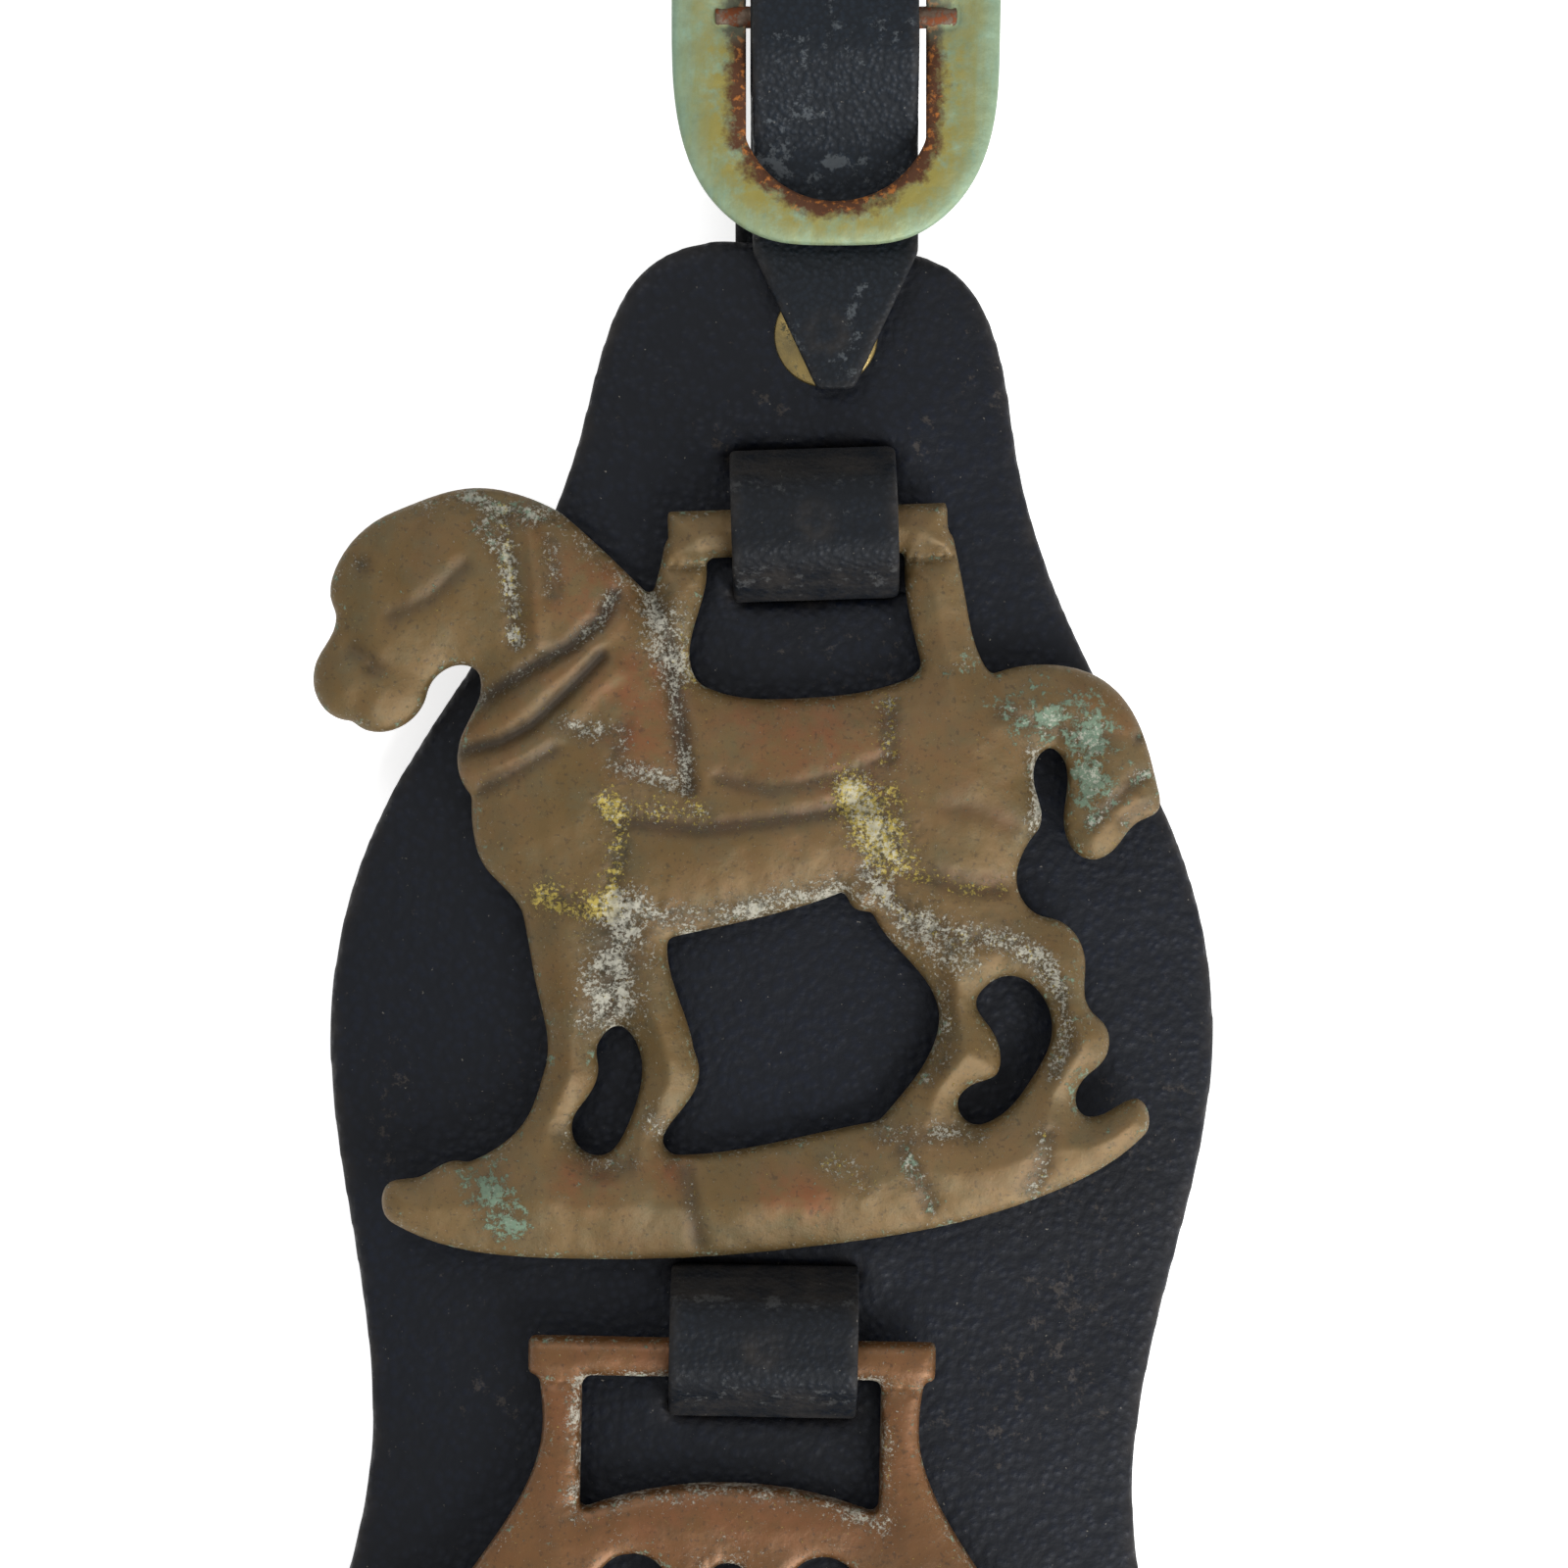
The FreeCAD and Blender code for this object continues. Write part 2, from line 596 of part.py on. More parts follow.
def buckle_ring(half_width, half_height):
    """Rounded frame outline whose four sides are all gently bowed."""
    corner_x = half_width * 0.80
    corner_y = half_height * 0.76
    return ring_curve([
        (half_width, 0),
        (half_width * 0.975, half_height * 0.40),
        (corner_x, corner_y),
        (half_width * 0.45, half_height * 0.965),
        (0, half_height),
        (-half_width * 0.45, half_height * 0.965),
        (-corner_x, corner_y),
        (-half_width * 0.975, half_height * 0.40),
        (-half_width, 0),
        (-half_width * 0.975, -half_height * 0.40),
        (-corner_x, -corner_y),
        (-half_width * 0.45, -half_height * 0.965),
        (0, -half_height),
        (half_width * 0.45, -half_height * 0.965),
        (corner_x, -corner_y),
        (half_width * 0.975, -half_height * 0.40),
    ])


def make_buckle_bar():
    length = 2 * (window_half_width + buckle_bar_seat)
    start = point(buckle_x - length / 2, buckle_y, buckle_bar_z)
    return Part.makeCylinder(buckle_bar_r, length, start, point(1, 0, 0))


def make_buckle_frame():
    """Flat cast frame with a straight-sided window and bored bar seats."""
    outer = buckle_ring(buckle_half_width, buckle_half_height)
    straight = window_half_height - 6.0
    window = Part.Wire([
        curve([(window_half_width, -straight), (window_half_width, straight)]),
        Part.Arc(
            point(window_half_width, straight),
            point(0, window_half_height),
            point(-window_half_width, straight),
        ).toShape(),
        curve([(-window_half_width, straight), (-window_half_width, -straight)]),
        Part.Arc(
            point(-window_half_width, -straight),
            point(0, -window_half_height),
            point(window_half_width, -straight),
        ).toShape(),
    ])
    frame = prism(outer, rim_back_z, rim_back_z + buckle_thickness)
    frame = frame.cut(prism(window, 0, sky))
    frame.translate(point(buckle_x, buckle_y, 0))
    return frame.cut(make_buckle_bar())


def make_tongue():
    """Flat tongue: an eye round the bar and a shaft resting on the rim."""
    eye_inner = buckle_bar_r + tongue_wrap_clearance
    eye_outer = eye_inner + tongue_thickness
    rest_z = rim_back_z + buckle_thickness + skin_gap + tongue_thickness / 2
    low_x = buckle_x - tongue_width / 2
    start = point(low_x, buckle_y, buckle_bar_z)
    along = point(1, 0, 0)
    eye = Part.makeCylinder(eye_outer, tongue_width, start, along)
    bore = Part.makeCylinder(eye_inner, tongue_width, start, along)
    path = [
        (buckle_y, buckle_bar_z + eye_inner + tongue_thickness / 2, 0),
        (buckle_y + 8.0, rest_z, 10),
        (buckle_y + buckle_half_height - 0.8, rest_z, 0),
    ]
    shaft = ribbon(path, tongue_thickness, low_x, low_x + tongue_width)
    return eye.fuse(shaft).cut(bore).removeSplitter()


def make_top_rivet():
    post = cylinder(rivet_post_r, 0, panel_front_z)
    head = cylinder(rivet_head_r, panel_front_z, rivet_top_z)
    return post.fuse(head).removeSplitter()


def make_top_burr():
    return cylinder(burr_r, 0, burr_t).cut(cylinder(rivet_post_r, 0, burr_t))


def on_hanger(shape):
    return placed(shape, 0, 0, hanger_lean)


def bar_place(x, y, lean, drop, shift):
    """Where a casting's bar lies: below its tab and to one side of it."""
    turn = math.radians(lean)
    side = point(math.cos(turn), math.sin(turn))
    down = point(math.sin(turn), -math.cos(turn))
    place = point(x, y) + side * shift + down * drop
    return place.x, place.y, lean


def build():
    upper = (upper_tab_x, upper_tab_y, upper_lean)
    lower = (lower_tab_x, lower_tab_y, lower_lean)
    return {
        "backing_panel": make_panel(),
        "upper_hanger_tab": placed(make_tab(upper_tab_width), *upper),
        "lower_hanger_tab": placed(make_tab(lower_tab_width), *lower),
        "upper_tab_rivet": placed(make_tab_rivet(), *upper),
        "lower_tab_rivet": placed(make_tab_rivet(), *lower),
        "top_rivet": make_top_rivet(),
        "top_rivet_burr": make_top_burr(),
        "hanging_strap": on_hanger(make_strap()),
        "buckle_tab": on_hanger(make_buckle_tab()),
        "buckle_frame": on_hanger(make_buckle_frame()),
        "buckle_bar": on_hanger(make_buckle_bar()),
        "buckle_tongue": on_hanger(make_tongue()),
        "horse_brass": placed(make_horse(), *bar_place(*upper, upper_bar_drop, 0)),
        "disc_brass": placed(make_disc(), *bar_place(*lower, lower_bar_drop, disc_side_shift)),
    }


os.makedirs("parts", exist_ok=True)
for node, shape in build().items():
    shape.exportStep("parts/" + node + ".step")
    print(node, len(shape.Solids), "solid", round(shape.Volume), "cubic mm")
for name, place in (
    ("horse bar", bar_place(upper_tab_x, upper_tab_y, upper_lean, upper_bar_drop, 0)),
    ("disc bar", bar_place(lower_tab_x, lower_tab_y, lower_lean, lower_bar_drop, disc_side_shift)),
):
    print(name, "at", [round(value, 3) for value in (*place[:2], bar_axis_z)])
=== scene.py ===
# %% [markdown]
# A harness hanger: a black leather panel carries two old cast brasses on
# leather tabs, below a buckled strap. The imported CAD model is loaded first.
# Every visible piece is then made round it, so that nothing has to be fitted.

# %% Load the frame
import json
import math
import bmesh
import bpy
import numpy as np
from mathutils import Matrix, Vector, kdtree, noise


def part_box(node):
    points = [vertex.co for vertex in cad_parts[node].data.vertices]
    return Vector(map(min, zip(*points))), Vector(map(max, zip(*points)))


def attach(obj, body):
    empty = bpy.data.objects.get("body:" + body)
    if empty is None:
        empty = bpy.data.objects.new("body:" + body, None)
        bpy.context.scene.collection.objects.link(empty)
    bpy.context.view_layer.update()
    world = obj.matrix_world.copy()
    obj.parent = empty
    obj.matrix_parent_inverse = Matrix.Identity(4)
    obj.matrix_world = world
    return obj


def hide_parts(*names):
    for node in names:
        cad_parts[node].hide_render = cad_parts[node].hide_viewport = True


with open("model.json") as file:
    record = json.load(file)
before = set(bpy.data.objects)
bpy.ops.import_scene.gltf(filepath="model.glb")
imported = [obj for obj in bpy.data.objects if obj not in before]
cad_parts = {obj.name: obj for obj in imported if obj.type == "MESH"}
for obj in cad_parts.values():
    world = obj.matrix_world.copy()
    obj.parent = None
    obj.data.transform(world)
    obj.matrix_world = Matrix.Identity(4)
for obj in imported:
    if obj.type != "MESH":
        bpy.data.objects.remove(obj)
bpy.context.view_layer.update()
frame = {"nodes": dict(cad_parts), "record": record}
scene = bpy.context.scene
mm = 0.001

# %% [markdown]
# Each moving group has its own tilt in the plane of the panel. A place is the
# group's origin and its lean, so that features can be written in plain
# millimetres from the bar that a casting hangs on. The joints in the record
# give these origins, which is safer than repeating them by hand.

# %% Places of the groups
joints = {joint["name"]: joint for joint in frame["record"]["behaviour"]["joints"]}


def joint_place(name, lean):
    """Origin in metres and lean in radians of one joint's group."""
    return Vector(joints[name]["pos_m"]), math.radians(lean)


horse_place = joint_place("horse_swing", 4.4)
disc_place = joint_place("disc_swing", 1.5)
strap_place = joint_place("hanger_swivel", 2.6)
panel_place = (Vector((0, 0, 0)), 0.0)


def beside(place, right, up):
    """A place shifted in its own leaning frame, in millimetres."""
    origin, lean = place
    side = Vector((math.cos(lean), math.sin(lean), 0))
    top = Vector((-math.sin(lean), math.cos(lean), 0))
    return origin + (side * right + top * up) * mm, lean


horse_drop = 0.7               # the bars hang below the middles of their tabs
disc_drop = 1.5
disc_shift = 3.05              # and the disc's bar to the left of its tab
upper_tab_place = beside(horse_place, 0, horse_drop)
lower_tab_place = beside(disc_place, disc_shift, disc_drop)
print("horse bar at", [round(v / mm, 2) for v in horse_place[0]])

# %% [markdown]
# The piece lies flat and is seen from straight above. A short lens would bend
# its outline, so a long one is used from further away. One big soft lamp at
# the lower right throws shadows up and to the left, and a weak one fills them.

# %% Camera, lamp and floor
view_centre = Vector((-2.1 * mm, -43.75 * mm, 9 * mm))
view_distance = 0.55
view_width = 152 * mm
camera_data = bpy.data.cameras.new("camera")
camera_data.sensor_width = 36
camera_data.lens = 36 * view_distance / view_width
camera = bpy.data.objects.new("camera", camera_data)
camera.location = view_centre + Vector((0, 0, view_distance))
camera.rotation_euler = (0, 0, strap_place[1])
scene.collection.objects.link(camera)
scene.camera = camera


def soft_lamp(name, place, size, power):
    """A square area lamp that faces the middle of the view."""
    data = bpy.data.lights.new(name, "AREA")
    data.size = size
    data.energy = power
    lamp = bpy.data.objects.new(name, data)
    lamp.location = place
    lamp.rotation_euler = (view_centre - Vector(place)).to_track_quat("-Z", "Y").to_euler()
    scene.collection.objects.link(lamp)
    return lamp


soft_lamp("key_lamp", (0.42, -0.55, 0.42), 0.6, 9)
soft_lamp("top_lamp", (-0.25, 0.45, 0.7), 0.4, 1.6)
scene.view_settings.view_transform = "Standard"
print("lens:", round(camera_data.lens, 1), "mm")

# %% [markdown]
# Every finish here is a small graph of shader nodes. Writing each link by
# hand is long and easy to get wrong, so a few helpers add a node, link or set
# its sockets, and give back the output that the next node needs.

# %% Helpers that place and link shader nodes
def add(tree, kind, settings=None, **sockets):
    """Adds a node; a socket given as another node's output is linked."""
    made = tree.nodes.new(kind)
    for key, value in (settings or {}).items():
        setattr(made, key, value)
    for key, value in sockets.items():
        plug(tree, made.inputs[key.replace("_", " ")], value)
    return made


def plug(tree, socket, value):
    """Links a socket, or sets it."""
    if isinstance(value, bpy.types.NodeSocket):
        tree.links.new(value, socket)
    else:
        socket.default_value = value


def colour(code):
    """A linear colour from a six-digit sRGB code."""
    parts = [int(code[i:i + 2], 16) / 255 for i in (0, 2, 4)]
    return (*[c / 12.92 if c <= 0.04045 else ((c + 0.055) / 1.055) ** 2.4 for c in parts], 1)


def mix_colour(tree, factor, first, second, mode="MIX"):
    made = tree.nodes.new("ShaderNodeMix")
    made.data_type = "RGBA"
    made.blend_type = mode
    plug(tree, made.inputs[0], factor)
    plug(tree, made.inputs[6], first)
    plug(tree, made.inputs[7], second)
    return made.outputs[2]


def maths(tree, operation, first, second=0.0, clamp=False):
    made = tree.nodes.new("ShaderNodeMath")
    made.operation = operation
    made.use_clamp = clamp
    plug(tree, made.inputs[0], first)
    plug(tree, made.inputs[1], second)
    return made.outputs[0]


def spread(tree, value, low, high, to_low=0.0, to_high=1.0):
    """Stretches low..high of a value to another range, clamped."""
    made = add(tree, "ShaderNodeMapRange", None, Value=value)
    for socket, number in zip(made.inputs[1:5], (low, high, to_low, to_high)):
        plug(tree, socket, number)
    return made.outputs[0]


def speckle(tree, vector, scale, detail=4.0, rough=0.6):
    return add(tree, "ShaderNodeTexNoise", None, Vector=vector, Scale=scale,
               Detail=detail, Roughness=rough).outputs[0]


def new_material(name):
    """A material with its nodes cleared, and object coordinates at hand."""
    material = bpy.data.materials.new(name)
    material.use_nodes = True
    tree = material.node_tree
    tree.nodes.clear()
    place = add(tree, "ShaderNodeTexCoord").outputs["Object"]
    return material, tree, place


def finish_material(tree, shader):
    output = add(tree, "ShaderNodeOutputMaterial")
    tree.links.new(shader.outputs[0], output.inputs[0])


def attribute(tree, name):
    """Reads a value that was stored with the piece's vertices."""
    return add(tree, "ShaderNodeAttribute", {"attribute_name": name})


print("shader helpers ready, for example black leather is", [round(c, 4) for c in colour("0a101c")])

# %% [markdown]
# The piece lies on a white board. Lighting the board until it is white would
# wash out the brass, so part of its whiteness is given only to what the camera
# and shiny surfaces see. The board still takes the object's shadow.

# %% Floor and world
def seen_directly(tree):
    """1 for rays from the camera, and for rays that a shiny surface sends."""
    path = add(tree, "ShaderNodeLightPath")
    sharp = maths(tree, "MAXIMUM", path.outputs["Is Camera Ray"], path.outputs["Is Glossy Ray"])
    return maths(tree, "MAXIMUM", sharp, path.outputs["Is Transmission Ray"])


floor_mesh = bpy.data.meshes.new("floor")
builder = bmesh.new()
bmesh.ops.create_grid(builder, x_segments=1, y_segments=1, size=3)
bmesh.ops.translate(builder, verts=builder.verts, vec=(0, 0, -0.0003))
builder.to_mesh(floor_mesh)
builder.free()
floor = bpy.data.objects.new("floor", floor_mesh)
scene.collection.objects.link(floor)
material, tree, place = new_material("white_board")
direct = seen_directly(tree)
speck = spread(tree, speckle(tree, place, 900, 2.0), 0.2, 0.24)
dusty_white = mix_colour(tree, speck, colour("8a8a88"), colour("f4f4f4"))
finish_material(tree, add(
    tree, "ShaderNodeBsdfPrincipled", None, Base_Color=dusty_white, Roughness=0.9,
    Emission_Color=(1, 1, 1, 1), Emission_Strength=maths(tree, "MULTIPLY", direct, 0.72)))
floor_mesh.materials.append(material)

world = bpy.data.worlds.new("studio")
scene.world = world
world.use_nodes = True
tree = world.node_tree
tree.nodes.clear()
strength = spread(tree, seen_directly(tree), 0, 1, 0.34, 1.0)
sky = add(tree, "ShaderNodeBackground", None, Color=(1, 1, 1, 1), Strength=strength)
output = add(tree, "ShaderNodeOutputWorld")
tree.links.new(sky.outputs[0], output.inputs[0])
print("floor and world made")

# %% [markdown]
# Leather shows a pebbled grain, fine creases and dull scuffs; old castings
# show abraded high spots, and painted shade darkens their grooves. The same few
# effects come back in several materials, so each is a node group made once.

# %% Shared node groups
def new_group(name, inputs, outputs):
    """A shader group with float or vector inputs and float outputs."""
    group = bpy.data.node_groups.new(name, "ShaderNodeTree")
    for label, kind, start in inputs:
        socket = group.interface.new_socket(label, in_out="INPUT", socket_type=kind)
        if start is not None:
            socket.default_value = start
    for label, kind in outputs:
        group.interface.new_socket(label, in_out="OUTPUT", socket_type=kind)
    return group, group.nodes.new("NodeGroupInput"), group.nodes.new("NodeGroupOutput")


def make_grain_group():
    """Pebbled leather: rounded cells with finer creases between them."""
    group, given, result = new_group(
        "leather_grain",
        [("Vector", "NodeSocketVector", None), ("Cells", "NodeSocketFloat", 900.0),
         ("Creases", "NodeSocketFloat", 0.5)],
        [("Height", "NodeSocketFloat"), ("Pits", "NodeSocketFloat")])
    cells = add(group, "ShaderNodeTexVoronoi", {"feature": "SMOOTH_F1"},
                Vector=given.outputs["Vector"], Scale=given.outputs["Cells"], Smoothness=0.5)
    pebble = maths(group, "SUBTRACT", 1.0, cells.outputs["Distance"], True)
    fine = speckle(group, given.outputs["Vector"], 1700, 3.0)
    broad = speckle(group, given.outputs["Vector"], 160, 4.0, 0.65)
    crease = maths(group, "MULTIPLY", spread(group, broad, 0.35, 0.65), given.outputs["Creases"])
    height = maths(group, "ADD", maths(group, "MULTIPLY", pebble, 0.55),
                   maths(group, "ADD", maths(group, "MULTIPLY", fine, 0.35), crease))
    plug(group, result.inputs["Height"], height)
    plug(group, result.inputs["Pits"], spread(group, pebble, 0.45, 0.8, 1.0, 0.0))
    return group


def make_flaking_group():
    """Breaks a soft painted amount up into crumbs and flakes."""
    group, given, result = new_group(
        "flaking",
        [("Vector", "NodeSocketVector", None), ("Amount", "NodeSocketFloat", 0.0),
         ("Scale", "NodeSocketFloat", 1500.0)],
        [("Mask", "NodeSocketFloat")])
    fine = speckle(group, given.outputs["Vector"], given.outputs["Scale"], 5.0, 0.75)
    broad = spread(group, speckle(group, given.outputs["Vector"], 380, 4.0, 0.6), 0.36, 0.66)
    patchy = maths(group, "MULTIPLY", given.outputs["Amount"], spread(group, broad, 0, 1, 0.35, 1.15))
    total = maths(group, "ADD", maths(group, "MULTIPLY", patchy, 0.33), fine)
    plug(group, result.inputs["Mask"], spread(group, total, 0.655, 0.735))
    return group


grain_group = make_grain_group()
flaking_group = make_flaking_group()


def use_group(tree, group, **sockets):
    made = add(tree, "ShaderNodeGroup", {"node_tree": group})
    for key, value in sockets.items():
        plug(tree, made.inputs[key], value)
    return made


def bump(tree, height, strength, distance):
    """A normal bent by a height, in metres at full strength."""
    return add(tree, "ShaderNodeBump", None, Height=height, Strength=strength,
               Distance=distance).outputs[0]


print("node groups:", [group.name for group in bpy.data.node_groups])

# %% [markdown]
# Harness leather is dyed nearly black, finished with wax, and scratched by
# use. A picture of leather would repeat and stretch, so the grain comes from
# cells and noise in real size. Painted attributes say where it is scuffed, and
# where its edges are lightened as burnished wear and a painted highlight.

# %% Leather material
def leather(name, dark, light, scuffed, cells, rough):
    """Black leather whose scuff attribute shows the wear; its edge attribute lightens the edges as burnished
    wear and a painted highlight.
    """
    material, tree, place = new_material(name)
    grain = use_group(tree, grain_group, Vector=place, Cells=cells, Creases=0.35)
    tone = spread(tree, speckle(tree, place, 45, 5.0), 0.3, 0.7)
    base = mix_colour(tree, tone, colour(dark), colour(light))
    base = mix_colour(tree, maths(tree, "MULTIPLY", grain.outputs["Pits"], 0.5), base, colour("040506"))
    marks = attribute(tree, "marks")
    split = add(tree, "ShaderNodeSeparateColor", None, Color=marks.outputs["Color"])
    scuff = use_group(tree, flaking_group, Vector=place, Amount=split.outputs[0], Scale=700.0)
    base = mix_colour(tree, maths(tree, "MULTIPLY", scuff.outputs["Mask"], 0.38), base, colour(scuffed))
    # painted highlight and burnished wear: the edge band is lightened in patches
    edge_breakup = spread(tree, speckle(tree, place, 260, 5.0), 0.35, 0.75)
    edge_wear_and_highlight = maths(tree, "MULTIPLY", split.outputs[1], edge_breakup)
    base = mix_colour(tree, maths(tree, "MULTIPLY", edge_wear_and_highlight, 0.35), base, colour("4a443e"))
    dust = spread(tree, speckle(tree, place, 2100, 2.0), 0.735, 0.78)
    base = mix_colour(tree, maths(tree, "MULTIPLY", dust, 0.55), base, colour("8f8a80"))
    dullness = maths(tree, "ADD", grain.outputs["Pits"], scuff.outputs["Mask"])
    roughness = spread(tree, dullness, 0, 1.5, rough, rough + 0.25)
    finish_material(tree, add(
        tree, "ShaderNodeBsdfPrincipled", None, Base_Color=base, Roughness=roughness,
        Specular_IOR_Level=0.18, Normal=bump(tree, grain.outputs["Height"], 0.6, 0.0003)))
    return material


panel_leather = leather("panel_leather", "060a13", "0a101c", "56504b", 1100.0, 0.44)
tab_leather = leather("tab_leather", "060a10", "0c131c", "57595a", 1500.0, 0.46)
strap_leather = leather("strap_leather", "0b1016", "141c25", "6d7377", 1700.0, 0.45)

print("leathers:", [m.name for m in (panel_leather, tab_leather, strap_leather)])

# %% [markdown]
# Brass that hangs in a damp stable goes brown, then grows green and white
# crusts where polish and salts collect. The brown is broad noise. The crusts
# follow soft strokes painted on the casting, and the flaking group turns each
# stroke into crumbs, which also lose their metal shine.

# %% Casting material
def flakes(tree, place, amount, scale):
    """Where a painted amount of crust shows as crumbs."""
    return use_group(tree, flaking_group, Vector=place, Amount=amount, Scale=scale).outputs["Mask"]


def casting(name, base_codes, patch, crumbs, sheen_rough):
    """Dirty old brass; marks holds white, yellow and green crust and red patches, and wear holds painted
    shade for the grooves and the rim.
    """
    material, tree, place = new_material(name)
    marks = attribute(tree, "marks")
    split = add(tree, "ShaderNodeSeparateColor", None, Color=marks.outputs["Color"])
    yellow = split.outputs[1]
    red = marks.outputs["Alpha"]
    wear = add(tree, "ShaderNodeSeparateColor", None, Color=attribute(tree, "wear").outputs["Color"])
    groove_shade, rim = wear.outputs[0], wear.outputs[1]
    white = maths(tree, "MAXIMUM", split.outputs[0], maths(tree, "MULTIPLY", rim, 0.3))
    green = maths(tree, "MAXIMUM", split.outputs[2], maths(tree, "MULTIPLY", rim, 0.34))
    broad = spread(tree, speckle(tree, place, 70, 5.0), 0.35, 0.68)
    base = mix_colour(tree, broad, colour(base_codes[0]), colour(base_codes[1]))
    mottle = spread(tree, speckle(tree, place, 260, 6.0, 0.7), 0.45, 0.75)
    base = mix_colour(tree, maths(tree, "MULTIPLY", mottle, 0.75), base, colour(base_codes[2]))
    warm = maths(tree, "ADD", maths(tree, "MULTIPLY", red, 1.1), maths(tree, "MULTIPLY", broad, 0.22))
    blotches = spread(tree, speckle(tree, place, 330, 5.0, 0.7), 0.36, 0.62)
    warm = maths(tree, "MULTIPLY", warm, blotches)
    base = mix_colour(tree, warm, base, colour(patch))
    # painted shade: the grooves are darkened nearly to black
    base = mix_colour(tree, maths(tree, "MULTIPLY", groove_shade, 0.85), base, colour("1f1811"))
    base = mix_colour(tree, maths(tree, "MULTIPLY", rim, 0.2), base, colour(base_codes[3]))
    pits = spread(tree, speckle(tree, place, 1900, 3.0), 0.58, 0.68)
    base = mix_colour(tree, maths(tree, "MULTIPLY", pits, 0.45), base, colour("221a12"))
    green_flakes = flakes(tree, place, green, 1100.0)
    base = mix_colour(tree, maths(tree, "MULTIPLY", green_flakes, 0.75), base, colour("6f8a76"))
    yellow_flakes = flakes(tree, place, yellow, crumbs)
    base = mix_colour(tree, maths(tree, "MULTIPLY", yellow_flakes, 0.85), base, colour("ad9a48"))
    white_flakes = flakes(tree, place, white, crumbs * 1.2)
    base = mix_colour(tree, maths(tree, "MULTIPLY", white_flakes, 0.72), base, colour("b4b2a4"))
    grime = spread(tree, speckle(tree, place, 1250, 4.0, 0.7), 0.5, 0.62)
    packed = maths(tree, "MULTIPLY", maths(tree, "MAXIMUM", white, yellow), grime)
    base = mix_colour(tree, maths(tree, "MULTIPLY", packed, 0.75), base, colour("35301f"))
    crust = maths(tree, "MAXIMUM", maths(tree, "MAXIMUM", white_flakes, yellow_flakes), green_flakes)
    metal = spread(tree, crust, 0, 1, 0.42, 0.0)
    roughness = spread(tree, crust, 0, 1, sheen_rough, 0.9)
    height = maths(tree, "ADD", maths(tree, "MULTIPLY", mottle, 0.35),
                   maths(tree, "ADD", crust, maths(tree, "MULTIPLY", speckle(tree, place, 1300, 4.0), 0.35)))
    finish_material(tree, add(
        tree, "ShaderNodeBsdfPrincipled", None, Base_Color=base, Metallic=metal,
        Roughness=roughness, Normal=bump(tree, height, 0.5, 0.00022)))
    return material


horse_brass_metal = casting(
    "horse_brass_metal", ("57431f", "655130", "4f4b34", "75623e"), "6a4122", 2300.0, 0.55)
disc_brass_metal = casting(
    "disc_brass_metal", ("553719", "62421f", "4a3720", "825830"), "6c4224", 2300.0, 0.42)
print("materials:", [m.name for m in bpy.data.materials])

# %% [markdown]
# The rivets are yellow brass, and the buckle's bar and tongue are steel that
# has rusted. One recipe makes both, with other colours and more or less stain.
# The buckle loop's verdigris needs its own, because its rust starts at the
# window's edge and fades outwards.

# %% Rust and rivet materials
def fitting_metal(name, clean, dull, stain, metal_part, rough, stain_amount):
    """A small metal fitting with stains spread over it."""
    material, tree, place = new_material(name)
    tone = spread(tree, speckle(tree, place, 400, 5.0, 0.65), 0.35, 0.65)
    base = mix_colour(tree, tone, colour(clean), colour(dull))
    rust = spread(tree, speckle(tree, place, 900, 6.0, 0.7), 0.62 - stain_amount, 0.72 - stain_amount)
    base = mix_colour(tree, rust, base, colour(stain))
    height = maths(tree, "ADD", maths(tree, "MULTIPLY", rust, 0.6), speckle(tree, place, 2200, 3.0))
    finish_material(tree, add(
        tree, "ShaderNodeBsdfPrincipled", None, Base_Color=base,
        Metallic=spread(tree, rust, 0, 1, metal_part, 0.1),
        Roughness=spread(tree, rust, 0, 1, rough, 0.85),
        Normal=bump(tree, height, 0.35, 0.00015)))
    return material


rivet_metal = fitting_metal("rivet_metal", "8a7748", "6b5f40", "4a4a38", 0.8, 0.35, 0.05)
rusty_steel = fitting_metal("rusty_steel", "6a5a4c", "4c3a2c", "7a3f1c", 0.6, 0.5, 0.16)


